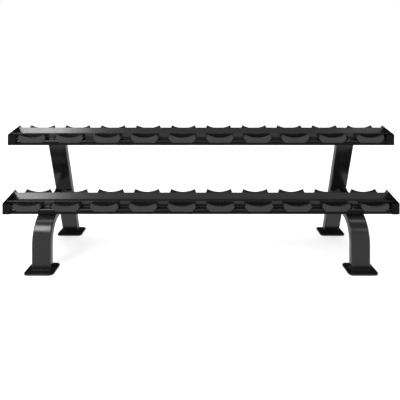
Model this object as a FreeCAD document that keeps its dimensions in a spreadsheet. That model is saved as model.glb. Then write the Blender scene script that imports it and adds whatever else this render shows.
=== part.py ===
# Two-tier saddle rack for ten pairs of dumbbells on each tier.
#
# Frame: +X along the rack to its right, +Y to its back, +Z up, in millimetres, with the
# origin on the floor under the middle of the rack. Each tier has a frame of its own: u runs
# back along the sloping tier and v stands square to it, from the front top corner of the
# tier's end plates.
import FreeCAD, Part
import os
import Sketcher
from FreeCAD import Placement, Rotation, Vector

SIZES = (
    ("overall_width", 2440, "over the outer faces of the end plates"),
    ("overall_depth", 731, "over the foot plates"),
    ("tier_slope", 11, "degrees that each tier rises to the back"),
    ("saddle_pitch", 238.4, "from one dumbbell to the next"),
    ("saddles_per_row", 10, "dumbbells on one tier"),
    ("legs_in_pitches", 4, "side frame from the middle, in saddle pitches"),
    ("tube_width", 112, "rectangular tube, along X"),
    ("tube_depth", 50, "rectangular tube, the other way"),
    ("tube_wall", 3, "wall of the tube"),
    ("tube_corner", 8, "outer corner radius of the tube"),
    ("foot_width", 176, "foot plate along X"),
    ("foot_length", 148, "foot plate along Y"),
    ("foot_thickness", 10, "foot plate"),
    ("foot_corner", 26, "foot plate corner radius"),
    ("foot_edge", 1.5, "rounding of the foot plate's upper edge"),
    ("foot_hole", 13, "anchor hole"),
    ("foot_hole_across", 118, "anchor holes along X"),
    ("foot_hole_along", 100, "anchor holes along Y"),
    ("leg_setback", 52, "front leg behind the front of its foot plate"),
    ("leg_bend", 169, "outer radius of the front leg's bend"),
    ("arm_run", 160, "Y that the leg's arm is bent to before it is mitred against the post"),
    ("post_front", 260, "front of the rear post at its foot, along Y"),
    ("post_lean", 23.3, "degrees that the rear post leans forward"),
    ("lower_tier_y", -237.5, "front top corner of the lower tier"),
    ("lower_tier_z", 381, "front top corner of the lower tier"),
    ("tier_rise", 411.5, "from the lower tier to the upper one"),
    ("tier_setback", 73, "upper tier behind the lower one"),
    ("tier_drop", 66, "tier's underside below its top line"),
    ("plate_thickness", 5, "end plate"),
    ("plate_height", 68, "front edge of the end plate, upright"),
    ("plate_top", 183, "top edge of the end plate, along u"),
    ("plate_depth", 217, "end plate from front to back, level"),
    ("plate_back_height", 0.4, "where its upright back edge starts, above the front corner"),
    ("plate_corner", 3, "corner radius of the end plate"),
    ("plate_edge", 1, "rounding of the end plate's outer edge"),
    ("sheet", 3, "sheet of the rails, pans and corner brackets"),
    ("bend_inner", 2, "inner radius of the sheet's bends"),
    ("front_edge", 6, "u of the front rail's outer face, at the shelf"),
    ("front_edge_splay", 4.7, "the outer face's foot further out, which hangs it upright"),
    ("front_web", 41, "u of the front web's outer face, at its top"),
    ("front_web_lean", 0, "front web's foot towards the middle from its top, along u"),
    ("front_web_drop", 5, "front web's top under the tier's top line"),
    ("front_shelf_drop", 42, "front shelf's upper face under the tier's top line"),
    ("rear_edge", 202, "u of the rear rail's outer face, at the shelf"),
    ("rear_edge_splay", 0, "the outer face's foot further out"),
    ("rear_web", 157, "u of the rear web's outer face, at its top"),
    ("rear_web_lean", 21.5, "rear web's foot towards the middle from its top, along u"),
    ("rear_web_drop", 6, "rear web's top under the tier's top line"),
    ("rear_shelf_drop", 47, "rear shelf's upper face under the tier's top line"),
    ("hem_depth", 5, "hem at a web's top, along u"),
    ("hem_height", 9, "hem at a web's top, square to the slope"),
    ("hem_round", 2.2, "rounding of the hem"),
    ("pan_side", 18, "upturned front side of the pan"),
    ("pan_end", 133, "u of the pan's rear edge"),
    ("bracket_width", 43.5, "corner bracket across the front"),
    ("bracket_return", 12, "corner bracket along the end plate"),
    ("bracket_margin", 1, "corner bracket inside the end plate's outline"),
    ("saddle_lap", 4, "saddle's skirt, which hangs in front of the rail"),
    ("saddle_skirt", 16, "saddle's skirt below the shelf's upper face"),
    ("saddle_depth", 36, "saddle along u"),
    ("saddle_rim", 5, "saddle's level top edge, along u"),
    ("saddle_rise", 41, "saddle's tips above the shelf"),
    ("saddle_back_rise", 28, "saddle's top above the shelf where it meets the web"),
    ("saddle_shoulder", 15, "saddle's greatest width, above the shelf"),
    ("saddle_top", 156, "saddle over its tips"),
    ("saddle_width", 176, "saddle's greatest width"),
    ("saddle_foot", 124, "saddle's width at the bottom of its skirt"),
    ("saddle_corner", 6, "corner radius of the saddle"),
    ("cradle_radius", 155, "hollow that the dumbbell's head lies in"),
    ("cradle_rise", 20, "hollow's lowest point above the shelf, on the outer face"),
    ("cradle_tilt", 14, "degrees that the hollow falls towards the tier's middle"),
    ("bolt_diameter", 10, "all the rack's bolts"),
    ("bolt_clearance", 1, "added to a bolt's diameter for its hole"),
    ("bolt_inset", 28, "saddle bolts from the saddle's outer face"),
    ("bolt_seat", 5, "underside of the saddle bolt's head, above the shelf"),
    ("bolt_end", 35, "end of the saddle bolt, below the shelf's upper face"),
    ("cap_diameter", 16, "cap screw head"),
    ("cap_height", 8, "cap screw head"),
    ("cap_socket", 9, "hexagon socket across its corners"),
    ("cap_socket_depth", 5, "hexagon socket"),
    ("cap_recess", 22, "recess in the saddle for the cap screw head"),
    ("nut_size", 19.6, "nut and bolt head across their corners"),
    ("nut_height", 9, "hexagon of the nut"),
    ("nut_flange", 22, "round flange of the nut"),
    ("nut_flange_height", 2.5, "round flange of the nut"),
    ("tier_bolt_x", 941, "tier bolt from the middle of the rack"),
    ("tier_bolt_front", 19, "u of the tier bolts in the front shelf"),
    ("tier_bolt_rear", 108, "u of the tier bolts in the pan"),
    ("tier_bolt_head", 6.4, "tier bolt's hexagon head"),
    ("tier_bolt_reach", 14, "tier bolt's shank under the shelf's upper face"),
    ("tie_width", 100, "cross tie along X"),
    ("tie_start", 10, "cross tie's front end, along u"),
    ("tie_end", 124, "cross tie's rear end, along u"),
    ("tie_bolt_hole", 11, "cross tie's bolt hole"),
    ("lower_mount_thickness", 4, "mounting plate under the lower tier"),
    ("lower_mount_start", 6, "its front edge, along u"),
    ("lower_mount_length", 190, "along u"),
    ("upper_mount_thickness", 12, "mounting plate under the upper tier"),
    ("upper_mount_start", 33, "its front edge, along u"),
    ("upper_mount_length", 166, "along u"),
    ("mount_corner", 6, "mounting plates' corner radius"),
)

SIDES = (("left", -1), ("right", 1))
TIERS = ("lower", "upper")
# Each row's own direction towards the middle of its tier, along u.
INWARDS = {"front": 1, "rear": -1}

doc = FreeCAD.newDocument("dumbbell_rack")
sheet = doc.addObject("Spreadsheet::Sheet", "sizes")
nodes = []


def fill_sheet():
    """Write the driving dimensions, one a row: the name, the number and what it is."""
    for row, (alias, number, note) in enumerate(SIZES, start=1):
        sheet.set(f"A{row}", alias)
        sheet.set(f"B{row}", str(number))
        sheet.set(f"C{row}", note)
        sheet.setAlias(f"B{row}", alias)
    doc.recompute()


def value(expression):
    """The number that an expression on the sheet's cells comes to."""
    return float(sheet.evalExpression(expression))


def size(alias):
    """A cell of the sheet, as an expression writes it."""
    return f"sizes.{alias}"


# Lengths that follow from the driving ones, as expressions.
FOOT_Y = "(-sizes.overall_depth / 2 + sizes.leg_setback + sizes.tube_depth / 2)"
ARM_CENTRE_DROP = "(sizes.tier_drop + sizes.lower_mount_thickness + sizes.tube_depth / 2)"
POST_TOP_DROP = "(sizes.tier_drop + sizes.upper_mount_thickness)"
FRAME_X = "(sizes.legs_in_pitches * sizes.saddle_pitch)"
INNER_HALF_WIDTH = "(sizes.overall_width / 2 - sizes.plate_thickness)"
BOLT_HOLE = "(sizes.bolt_diameter + sizes.bolt_clearance)"


def tier_y(level):
    return f"(sizes.lower_tier_y + {level} * sizes.tier_setback)"


def tier_z(level):
    return f"(sizes.lower_tier_z + {level} * sizes.tier_rise)"


def row_u(row, alias, inwards="0"):
    """u of a row's face, or of a place that lies further towards the tier's middle."""
    return f"(sizes.{row}_{alias} + ({INWARDS[row]}) * ({inwards}))"


def saddle_u(row, inwards="0"):
    """u of a saddle's outer face, or of a place further towards the tier's middle."""
    return row_u(row, "edge", f"{inwards} - sizes.saddle_lap")


def keep(feature, label):
    """Name a finished sub-part, which its file is named after."""
    feature.Label = label
    nodes.append(feature)


def place(feature, x="0", y="0", z="0"):
    """Set a sub-part's position from the sheet."""
    for axis, expression in (("x", x), ("y", y), ("z", z)):
        feature.setExpression(f"Placement.Base.{axis}", expression)


def place_on_tier(feature, level, x="0"):
    """Put a sub-part that is drawn in a tier's own frame onto that tier."""
    feature.Placement = Placement(Vector(), Rotation(Vector(1, 0, 0), value("sizes.tier_slope")))
    feature.setExpression("Placement.Rotation.Angle", "sizes.tier_slope")
    place(feature, x, tier_y(level), tier_z(level))


def new_body(name):
    return doc.addObject("PartDesign::Body", name)


def new_sketch(body, name, role, raised="0"):
    """A sketch on one of the body's own origin planes, raised along that plane's normal."""
    sketch = body.newObject("Sketcher::SketchObject", name)
    plane = next(part for part in body.Origin.OriginFeatures if part.Role == role)
    sketch.AttachmentSupport = [(plane, "")]
    sketch.MapMode = "FlatFace"
    sketch.setExpression("AttachmentOffset.Base.z", raised)
    doc.recompute()
    return sketch


def fix_point(sketch, geometry, point, across, up):
    """Hold a point of a sketch at a place that follows from the sheet."""
    for kind, expression in (("DistanceX", across), ("DistanceY", up)):
        index = sketch.addConstraint(
            Sketcher.Constraint(kind, -1, 1, geometry, point, value(expression)))
        sketch.setExpression(f"Constraints[{index}]", expression)


def draw_polygon(sketch, corners):
    """A closed outline with straight sides through corners, each a pair of expressions."""
    points = [Vector(value(across), value(up), 0) for across, up in corners]
    lines = [sketch.addGeometry(Part.LineSegment(start, end), False)
             for start, end in zip(points, points[1:] + points[:1])]
    for line, following in zip(lines, lines[1:] + lines[:1]):
        sketch.addConstraint(Sketcher.Constraint("Coincident", line, 2, following, 1))
    for line, (across, up) in zip(lines, corners):
        fix_point(sketch, line, 1, across, up)


def draw_circle(sketch, across, up, diameter):
    centre = Vector(value(across), value(up), 0)
    circle = sketch.addGeometry(Part.Circle(centre, Vector(0, 0, 1), value(diameter) / 2), False)
    index = sketch.addConstraint(Sketcher.Constraint("Diameter", circle, value(diameter)))
    sketch.setExpression(f"Constraints[{index}]", diameter)
    fix_point(sketch, circle, 3, across, up)


def draw_rectangle(sketch, width, depth, across="0", up="0"):
    """A rectangle about a centre."""
    draw_polygon(sketch, [(f"({across}) + ({sx}) * ({width}) / 2", f"({up}) + ({sy}) * ({depth}) / 2")
                          for sx, sy in ((-1, -1), (1, -1), (1, 1), (-1, 1))])


def add_pad(body, sketch, length, both_ways=False):
    pad = body.newObject("PartDesign::Pad", "pad")
    pad.Profile = sketch
    pad.Midplane = both_ways
    pad.setExpression("Length", length)
    doc.recompute()
    return pad


def add_pocket(body, sketch, length, both_ways=False, reversed_way=False):
    """Cut a sketch out of the body, and make sure that something was cut."""
    before = body.Shape.Volume
    pocket = body.newObject("PartDesign::Pocket", "pocket")
    pocket.Profile = sketch
    pocket.Midplane = both_ways
    pocket.Reversed = reversed_way
    pocket.setExpression("Length", length)
    doc.recompute()
    if body.Shape.Volume >= before:
        raise RuntimeError(f"{body.Name}: a pocket cut nothing")
    return pocket


def add_fillet(body, chosen, radius):
    """Round the edges of the body that a test picks out."""
    base = body.Tip
    names = [f"Edge{index}" for index, edge in enumerate(base.Shape.Edges, start=1) if chosen(edge)]
    if not names:
        raise RuntimeError(f"{body.Name}: no edge to round")
    fillet = body.newObject("PartDesign::Fillet", "fillet")
    fillet.Base = (base, names)
    fillet.setExpression("Radius", radius)
    doc.recompute()
    return fillet


def along(direction, length_at_least=0.0):
    """A test for straight edges that run one way."""
    def chosen(edge):
        if edge.Curve.TypeId != "Part::GeomLine" or edge.Length < length_at_least:
            return False
        return abs(edge.Curve.Direction.dot(direction)) > 0.9999
    return chosen


def near(direction, places, reach=0.5):
    """A test for straight edges that run one way and pass near one of some places."""
    straight = along(direction)

    def chosen(edge):
        if not straight(edge):
            return False
        middle = edge.valueAt((edge.FirstParameter + edge.LastParameter) / 2)
        across = middle - direction * middle.dot(direction)
        return any((across - Vector(*where)).Length < reach for where in places)
    return chosen


# ---- side frames ----

def tube_path(sketch):
    """Centre line of the front leg: upright, one bend, then back parallel to the tiers."""
    foot_z = size("foot_thickness")
    radius = "(sizes.leg_bend - sizes.tube_depth / 2)"
    end_y = size("arm_run")
    rise = f"({end_y} - sizes.lower_tier_y) * tan(sizes.tier_slope)"
    end_z = f"(sizes.lower_tier_z + {rise} - {ARM_CENTRE_DROP} / cos(sizes.tier_slope))"
    lift = f"({FOOT_Y} - sizes.lower_tier_y) * tan(sizes.tier_slope)"
    corner_z = value(f"sizes.lower_tier_z + {lift} - {ARM_CENTRE_DROP} / cos(sizes.tier_slope)")
    tangent = value(f"{radius} * tan((90 - sizes.tier_slope) / 2)")
    slope = Vector(value("cos(sizes.tier_slope)"), value("sin(sizes.tier_slope)"), 0)
    foot = Vector(value(FOOT_Y), value(foot_z), 0)
    bend_start = Vector(foot.x, corner_z - tangent, 0)
    bend_end = Vector(foot.x, corner_z, 0) + slope * tangent
    end = Vector(value(end_y), value(end_z), 0)
    centre = bend_start + Vector(value(radius), 0, 0)
    to_middle = (bend_start + bend_end) * 0.5 - centre
    bend_middle = centre + to_middle.normalize() * value(radius)
    upright = sketch.addGeometry(Part.LineSegment(foot, bend_start), False)
    bend = sketch.addGeometry(Part.Arc(bend_start, bend_middle, bend_end), False)
    arm = sketch.addGeometry(Part.LineSegment(bend_end, end), False)
    start_of_bend, end_of_bend = 2, 1
    sketch.addConstraint(Sketcher.Constraint("Tangent", upright, 2, bend, start_of_bend))
    sketch.addConstraint(Sketcher.Constraint("Tangent", bend, end_of_bend, arm, 1))
    sketch.addConstraint(Sketcher.Constraint("Vertical", upright))
    index = sketch.addConstraint(Sketcher.Constraint("Radius", bend, value(radius)))
    sketch.setExpression(f"Constraints[{index}]", radius)
    fix_point(sketch, upright, 1, FOOT_Y, foot_z)
    fix_point(sketch, arm, 2, end_y, end_z)
    doc.recompute()


def draw_round_rectangle(sketch, width, depth, radius, across="0", up="0"):
    """A rectangle about a centre with tangent arcs at its corners."""
    half_w, half_d, round_r = value(width) / 2, value(depth) / 2, value(radius)
    centre = Vector(value(across), value(up), 0)
    quarter_turns = ((1, 1), (-1, 1), (-1, -1), (1, -1))
    diagonal = round_r * value("sqrt(0.5)")
    arcs = []
    ends = []
    for turn, (sx, sy) in enumerate(quarter_turns):
        middle = centre + Vector(sx * (half_w - round_r), sy * (half_d - round_r), 0)
        along_x = middle + Vector(sx * round_r, 0, 0)
        along_y = middle + Vector(0, sy * round_r, 0)
        start, end = (along_x, along_y) if turn % 2 == 0 else (along_y, along_x)
        crown = middle + Vector(sx * diagonal, sy * diagonal, 0)
        arcs.append(sketch.addGeometry(Part.Arc(start, crown, end), False))
        ends.append((start, end))
    lines = [sketch.addGeometry(Part.LineSegment(ends[turn][1], ends[(turn + 1) % 4][0]), False)
             for turn in range(4)]
    for turn in range(4):
        sketch.addConstraint(Sketcher.Constraint("Tangent", arcs[turn], 2, lines[turn], 1))
        sketch.addConstraint(Sketcher.Constraint("Tangent", lines[turn], 2, arcs[(turn + 1) % 4], 1))
    for turn, kind in enumerate(("Horizontal", "Vertical", "Horizontal", "Vertical")):
        sketch.addConstraint(Sketcher.Constraint(kind, lines[turn]))
    for arc in arcs[1:]:
        sketch.addConstraint(Sketcher.Constraint("Equal", arcs[0], arc))
    index = sketch.addConstraint(Sketcher.Constraint("Radius", arcs[0], round_r))
    sketch.setExpression(f"Constraints[{index}]", radius)
    half = f"({width}) / 2"
    fix_point(sketch, arcs[0], 3, f"({across}) + {half} - ({radius})", f"({up}) + ({depth}) / 2 - ({radius})")
    fix_point(sketch, arcs[2], 3, f"({across}) - {half} + ({radius})", f"({up}) - ({depth}) / 2 + ({radius})")
    doc.recompute()


def draw_tube_section(sketch, across="0", up="0"):
    """Outer and inner outline of the rectangular tube."""
    draw_round_rectangle(sketch, size("tube_width"), size("tube_depth"), size("tube_corner"), across, up)
    draw_round_rectangle(sketch, "(sizes.tube_width - 2 * sizes.tube_wall)",
                         "(sizes.tube_depth - 2 * sizes.tube_wall)",
                         "(sizes.tube_corner - sizes.tube_wall)", across, up)


def post_front_y(height):
    """Y of the rear post's front face at a height above its foot plate."""
    return f"(sizes.post_front - ({height}) * tan(sizes.post_lean))"


def make_front_leg(label, side):
    body = new_body(label)
    path = new_sketch(body, "path", "YZ_Plane")
    tube_path(path)
    section = new_sketch(body, "section", "XY_Plane", size("foot_thickness"))
    draw_tube_section(section, "0", FOOT_Y)
    pipe = body.newObject("PartDesign::AdditivePipe", "pipe")
    pipe.Profile = section
    pipe.Spine = (path, [])
    doc.recompute()
    mitre = new_sketch(body, "mitre", "YZ_Plane")
    low, high = size("foot_thickness"), size("lower_tier_z") + " + sizes.tier_rise"
    draw_polygon(mitre, (
        (post_front_y(f"{low} - sizes.foot_thickness"), low),
        ("sizes.post_front + sizes.overall_depth", low),
        ("sizes.post_front + sizes.overall_depth", high),
        (post_front_y(f"{high} - sizes.foot_thickness"), high)))
    add_pocket(body, mitre, "2 * sizes.tube_width", both_ways=True)
    place(body, x=f"{side} * {FRAME_X}")
    keep(body, label)


def make_rear_post(label, side):
    """Rear post, cut level at its foot and parallel to the upper tier at its top."""
    body = new_body(label)
    outline = new_sketch(body, "outline", "YZ_Plane")
    back = "(sizes.tube_depth / cos(sizes.post_lean))"
    fall = f"({POST_TOP_DROP} / cos(sizes.tier_slope))"
    # Height above the foot plate at which a face, set back from the post's front, meets the
    # mounting plate, whose underside rises at the slope of the tier.
    head = (f"(({tier_z(1)} - sizes.foot_thickness - {fall} + "
            f"(sizes.post_front + {{0}} - {tier_y(1)}) * tan(sizes.tier_slope))"
            f" / (1 + tan(sizes.post_lean) * tan(sizes.tier_slope)))")
    front_head, back_head = head.format("0"), head.format(back)
    draw_polygon(outline, (
        (size("post_front"), size("foot_thickness")),
        (f"sizes.post_front + {back}", size("foot_thickness")),
        (f"{post_front_y(back_head)} + {back}", f"sizes.foot_thickness + {back_head}"),
        (post_front_y(front_head), f"sizes.foot_thickness + {front_head}")))
    add_pad(body, outline, size("tube_width"), both_ways=True)
    lean = value("sizes.post_lean")
    up_the_post = Rotation(Vector(1, 0, 0), lean).multVec(Vector(0, 0, 1))
    add_fillet(body, along(up_the_post), size("tube_corner"))
    base = body.Tip
    ends = [f"Face{index}" for index, face in enumerate(base.Shape.Faces, start=1)
            if face.Surface.TypeId == "Part::GeomPlane" and abs(face.normalAt(0, 0).dot(up_the_post)) > 0.5]
    hollow = body.newObject("PartDesign::Thickness", "hollow")
    hollow.Base = (base, ends)
    hollow.Reversed = True
    hollow.setExpression("Value", size("tube_wall"))
    doc.recompute()
    place(body, x=f"{side} * {FRAME_X}")
    keep(body, label)


def make_foot_plate(label, side, way):
    """Foot plate with a hole for a floor anchor at each corner."""
    body = new_body(label)
    outline = new_sketch(body, "outline", "XY_Plane")
    draw_round_rectangle(outline, size("foot_width"), size("foot_length"), size("foot_corner"))
    add_pad(body, outline, size("foot_thickness"))
    holes = new_sketch(body, "holes", "XY_Plane")
    for sx in (-1, 1):
        for sy in (-1, 1):
            draw_circle(holes, f"{sx} * sizes.foot_hole_across / 2",
                        f"{sy} * sizes.foot_hole_along / 2", size("foot_hole"))
    add_pocket(body, holes, size("foot_thickness"), reversed_way=True)
    top = value("sizes.foot_thickness")
    add_fillet(body, lambda edge: all(abs(vertex.Z - top) < 0.01 for vertex in edge.Vertexes)
               and edge.BoundBox.ZLength < 0.01 and edge.Length > value("pi * sizes.foot_hole"), size("foot_edge"))
    place(body, x=f"{side} * {FRAME_X}",
          y=f"{way} * (sizes.overall_depth / 2 - sizes.foot_length / 2)")
    keep(body, label)


def make_mount_plate(label, side, tier, level):
    """Plate on top of a side frame, which a tier rests on."""
    body = new_body(label)
    thickness, length = size(f"{tier}_mount_thickness"), size(f"{tier}_mount_length")
    outline = new_sketch(body, "outline", "XY_Plane", f"-(sizes.tier_drop + {thickness})")
    draw_round_rectangle(outline, size("tube_width"), length, size("mount_corner"),
                         "0", f"sizes.{tier}_mount_start + {length} / 2")
    add_pad(body, outline, thickness)
    place_on_tier(body, level, f"{side} * {FRAME_X}")
    keep(body, label)


def make_cross_tie(label, side, level):
    """Flat box section between a tier's shelf and its mounting plate, open at both ends."""
    body = new_body(label)
    top = "(sizes.front_shelf_drop + sizes.sheet)"
    height = f"(sizes.tier_drop - {top})"
    middle = f"-({top} + {height} / 2)"
    # The XZ plane's normal points to the front, so a sketch on it is raised by minus u.
    outline = new_sketch(body, "outline", "XZ_Plane", "-sizes.tie_end")
    draw_rectangle(outline, size("tie_width"), height, "0", middle)
    draw_rectangle(outline, "(sizes.tie_width - 2 * sizes.sheet)", f"({height} - 2 * sizes.sheet)", "0", middle)
    add_pad(body, outline, "sizes.tie_end - sizes.tie_start")
    holes = new_sketch(body, "holes", "XY_Plane", f"-({top} + sizes.sheet)")
    for place_u in ("sizes.tier_bolt_front", "sizes.tier_bolt_rear"):
        draw_circle(holes, f"{side} * (sizes.tier_bolt_x - {FRAME_X})", place_u, size("tie_bolt_hole"))
    add_pocket(body, holes, size("sheet"), reversed_way=True)
    place_on_tier(body, level, f"{side} * {FRAME_X}")
    keep(body, label)


# ---- tiers ----

def make_end_plate(label, side, level):
    """End plate: its front and back edges are upright, its long edges follow the slope."""
    body = new_body(label)
    start = "(sizes.overall_width / 2 - sizes.plate_thickness)" if side > 0 else "(-sizes.overall_width / 2)"
    outline = new_sketch(body, "outline", "YZ_Plane", start)
    foot = "sizes.plate_height"
    draw_polygon(outline, (
        ("0", "0"),
        ("0", f"-{foot}"),
        ("sizes.plate_depth", f"-{foot} + sizes.plate_depth * tan(sizes.tier_slope)"),
        ("sizes.plate_depth", "sizes.plate_back_height"),
        ("sizes.plate_top * cos(sizes.tier_slope)", "sizes.plate_top * sin(sizes.tier_slope)")))
    add_pad(body, outline, size("plate_thickness"))
    add_fillet(body, along(Vector(1, 0, 0)), size("plate_corner"))
    outer = value("sizes.overall_width / 2") * side
    add_fillet(body, lambda edge: all(abs(vertex.X - outer) < 0.01 for vertex in edge.Vertexes)
               and edge.BoundBox.XLength < 0.01, size("plate_edge"))
    place(body, y=tier_y(level), z=tier_z(level))
    keep(body, label)


def bend_at(across, up):
    """Where a bend of a folded sheet crosses the YZ plane."""
    return (0, value(across), value(up))


def make_corner_bracket(label, side, level):
    """Angle that closes a tier's front corner and is welded to the end plate."""
    body = new_body(label)
    top, bottom = "-sizes.bracket_margin", "(sizes.bracket_margin - sizes.plate_height)"
    wall, end = "sizes.sheet", f"{side} * {INNER_HALF_WIDTH}"
    tip = f"{side} * ({INNER_HALF_WIDTH} - sizes.bracket_width)"
    inner = f"{side} * ({INNER_HALF_WIDTH} - {wall})"
    outline = new_sketch(body, "outline", "XY_Plane", bottom)
    draw_polygon(outline, ((tip, "0"), (end, "0"), (end, "sizes.bracket_return"),
                           (inner, "sizes.bracket_return"), (inner, wall), (tip, wall)))
    add_pad(body, outline, f"{top} - {bottom}")
    place(body, y=tier_y(level), z=tier_z(level))
    keep(body, label)


def add_sheet_holes(body, name, centres, under, diameter):
    """Round holes up through one thickness of sheet whose underside is at a height."""
    holes = new_sketch(body, name, "XY_Plane", under)
    for across, up in centres:
        draw_circle(holes, across, up, diameter)
    return add_pocket(body, holes, size("sheet"), reversed_way=True), holes


def make_rail(label, row, level):
    """Folded rail: hemmed web, shelf for the saddles and a turned-down outer edge."""
    body = new_body(label)
    outline = new_sketch(body, "outline", "YZ_Plane")
    lean, rise = size(f"{row}_web_lean"), f"(sizes.{row}_shelf_drop - sizes.{row}_web_drop)"
    wall = f"(sizes.sheet * sqrt(1 + ({lean} / {rise}) ^ 2))"
    web_top, web_foot = row_u(row, "web"), row_u(row, "web", lean)
    inner_foot = row_u(row, "web", f"{wall} + {lean} * (1 + sizes.sheet / {rise})")
    edge, inner_edge = row_u(row, "edge"), row_u(row, "edge", size("sheet"))
    splay = size(f"{row}_edge_splay")
    edge_foot, inner_edge_foot = row_u(row, "edge", f"-{splay}"), row_u(row, "edge", f"sizes.sheet - {splay}")
    hem_top = row_u(row, "web", size("hem_depth"))
    hem_fall = f"{lean} * sizes.hem_height / {rise}"
    hem_front, hem_back = (row_u(row, "web", f"{depth} + {hem_fall}") for depth in (size("hem_depth"), wall))
    top, hem_foot = f"-sizes.{row}_web_drop", f"(-sizes.{row}_web_drop - sizes.hem_height)"
    shelf, under_shelf = f"-sizes.{row}_shelf_drop", f"(-sizes.{row}_shelf_drop - sizes.sheet)"
    bottom = "-sizes.tier_drop"
    draw_polygon(outline, ((edge_foot, bottom), (edge, shelf), (web_foot, shelf), (web_top, top), (hem_top, top),
                           (hem_front, hem_foot), (hem_back, hem_foot), (inner_foot, under_shelf),
                           (inner_edge, under_shelf), (inner_edge_foot, bottom)))
    add_pad(body, outline, f"2 * {INNER_HALF_WIDTH}", both_ways=True)
    lengthwise = Vector(1, 0, 0)
    inner_bends = [bend_at(web_foot, shelf), bend_at(inner_edge, under_shelf)]
    outer_bends = [bend_at(inner_foot, under_shelf), bend_at(edge, shelf)]
    hem_corners = [bend_at(web_top, top), bend_at(hem_top, top)]
    add_fillet(body, near(lengthwise, inner_bends), size("bend_inner"))
    add_fillet(body, near(lengthwise, outer_bends), "(sizes.bend_inner + sizes.sheet)")
    add_fillet(body, near(lengthwise, hem_corners), size("hem_round"))
    first = ("-(sizes.saddles_per_row - 1) / 2 * sizes.saddle_pitch", saddle_u(row, size("bolt_inset")))
    pocket, hole = add_sheet_holes(body, "saddle_hole", [first], under_shelf, BOLT_HOLE)
    pattern = body.newObject("PartDesign::LinearPattern", "saddle_holes")
    pattern.Originals = [pocket]
    pattern.Direction = (hole, ["H_Axis"])
    pattern.Occurrences = int(value("sizes.saddles_per_row"))
    pattern.setExpression("Length", "(sizes.saddles_per_row - 1) * sizes.saddle_pitch")
    body.Tip = pattern
    doc.recompute()
    if row == "front":
        centres = [(f"{side} * sizes.tier_bolt_x", "sizes.tier_bolt_front") for _, side in SIDES]
        add_sheet_holes(body, "tier_holes", centres, under_shelf, BOLT_HOLE)
    place_on_tier(body, level)
    keep(body, label)


def make_pan(label, level):
    """Floor between the two webs, turned up against the front one."""
    body = new_body(label)
    outline = new_sketch(body, "outline", "YZ_Plane")
    front, rear = row_u("front", "web", size("sheet")), size("pan_end")
    inner_front = f"({front} + sizes.sheet)"
    floor, under = "-sizes.front_shelf_drop", "(-sizes.front_shelf_drop - sizes.sheet)"
    top = "(sizes.pan_side - sizes.front_shelf_drop)"
    draw_polygon(outline, ((front, under), (rear, under), (rear, floor), (inner_front, floor),
                           (inner_front, top), (front, top)))
    add_pad(body, outline, f"2 * {INNER_HALF_WIDTH}", both_ways=True)
    centres = [(f"{side} * sizes.tier_bolt_x", "sizes.tier_bolt_rear") for _, side in SIDES]
    add_sheet_holes(body, "tier_holes", centres, under, BOLT_HOLE)
    place_on_tier(body, level)
    keep(body, label)


def make_saddle(name, row):
    """One saddle at x = 0 in a tier's frame, standing on its shelf with a skirt in front."""
    body = new_body(name)
    shelf = f"sizes.{row}_shelf_drop"
    inwards = INWARDS[row]
    outer_face, inner_face = saddle_u(row), saddle_u(row, size("saddle_depth"))
    rear_of_blank = inner_face if inwards > 0 else outer_face
    half_foot, half_width, half_top = "sizes.saddle_foot / 2", "sizes.saddle_width / 2", "sizes.saddle_top / 2"
    skirt, shoulder, tip = (f"(-{shelf} {sign} sizes.saddle_{part})" for sign, part in (
        ("-", "skirt"), ("+", "shoulder"), ("+", "rise")))
    # The XZ plane's normal points to the front, so a sketch on it is raised by minus u.
    outline = new_sketch(body, "outline", "XZ_Plane", f"-{rear_of_blank}")
    draw_polygon(outline, ((f"-{half_foot}", skirt), (half_foot, skirt), (half_width, shoulder),
                           (half_top, tip), (f"-{half_top}", tip), (f"-{half_width}", shoulder)))
    add_pad(body, outline, size("saddle_depth"))
    corners = [(sx * value(half), 0, value(height)) for sx in (-1, 1)
               for half, height in ((half_foot, skirt), (half_width, shoulder))]
    add_fillet(body, near(Vector(0, 1, 0), corners), size("saddle_corner"))
    notch = new_sketch(body, "shelf_notch", "YZ_Plane")
    rail_face, past = row_u(row, "edge"), saddle_u(row, "2 * sizes.saddle_depth")
    below = f"({skirt} - sizes.saddle_skirt)"
    draw_polygon(notch, ((rail_face, below), (past, below), (past, f"-{shelf}"), (rail_face, f"-{shelf}")))
    add_pocket(body, notch, "2 * sizes.saddle_width", both_ways=True)
    slope = new_sketch(body, "back_slope", "YZ_Plane")
    above = f"({tip} + sizes.saddle_rise)"
    draw_polygon(slope, ((saddle_u(row, size("saddle_rim")), tip), (saddle_u(row, size("saddle_rim")), above),
                         (inner_face, above), (inner_face, f"(sizes.saddle_back_rise - {shelf})")))
    add_pocket(body, slope, "2 * sizes.saddle_width", both_ways=True)
    before = body.Shape.Volume
    hollow = body.newObject("PartDesign::SubtractiveCylinder", "hollow")
    run = value("4 * sizes.saddle_depth")
    quarter_turn = 90
    lean = -inwards * (quarter_turn + value("sizes.cradle_tilt"))
    axis = Rotation(Vector(1, 0, 0), lean).multVec(Vector(0, 0, 1))
    centre = Vector(0, value(outer_face), value(f"sizes.cradle_radius + sizes.cradle_rise - {shelf}"))
    hollow.setExpression("Radius", size("cradle_radius"))
    hollow.setExpression("Height", "4 * sizes.saddle_depth")
    hollow.Placement = Placement(centre - axis * (run / 2), Rotation(Vector(0, 0, 1), axis))
    doc.recompute()
    if body.Shape.Volume >= before:
        raise RuntimeError("the cradle cut nothing")
    bolt_line = saddle_u(row, size("bolt_inset"))
    for part, raised, diameter in (("bolt_hole", f"-{shelf}", BOLT_HOLE),
                                   ("head_recess", f"(sizes.bolt_seat - {shelf})", size("cap_recess"))):
        hole = new_sketch(body, part, "XY_Plane", raised)
        draw_circle(hole, "0", bolt_line, diameter)
        add_pocket(body, hole, size("saddle_rise"), reversed_way=True)
    return body


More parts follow.
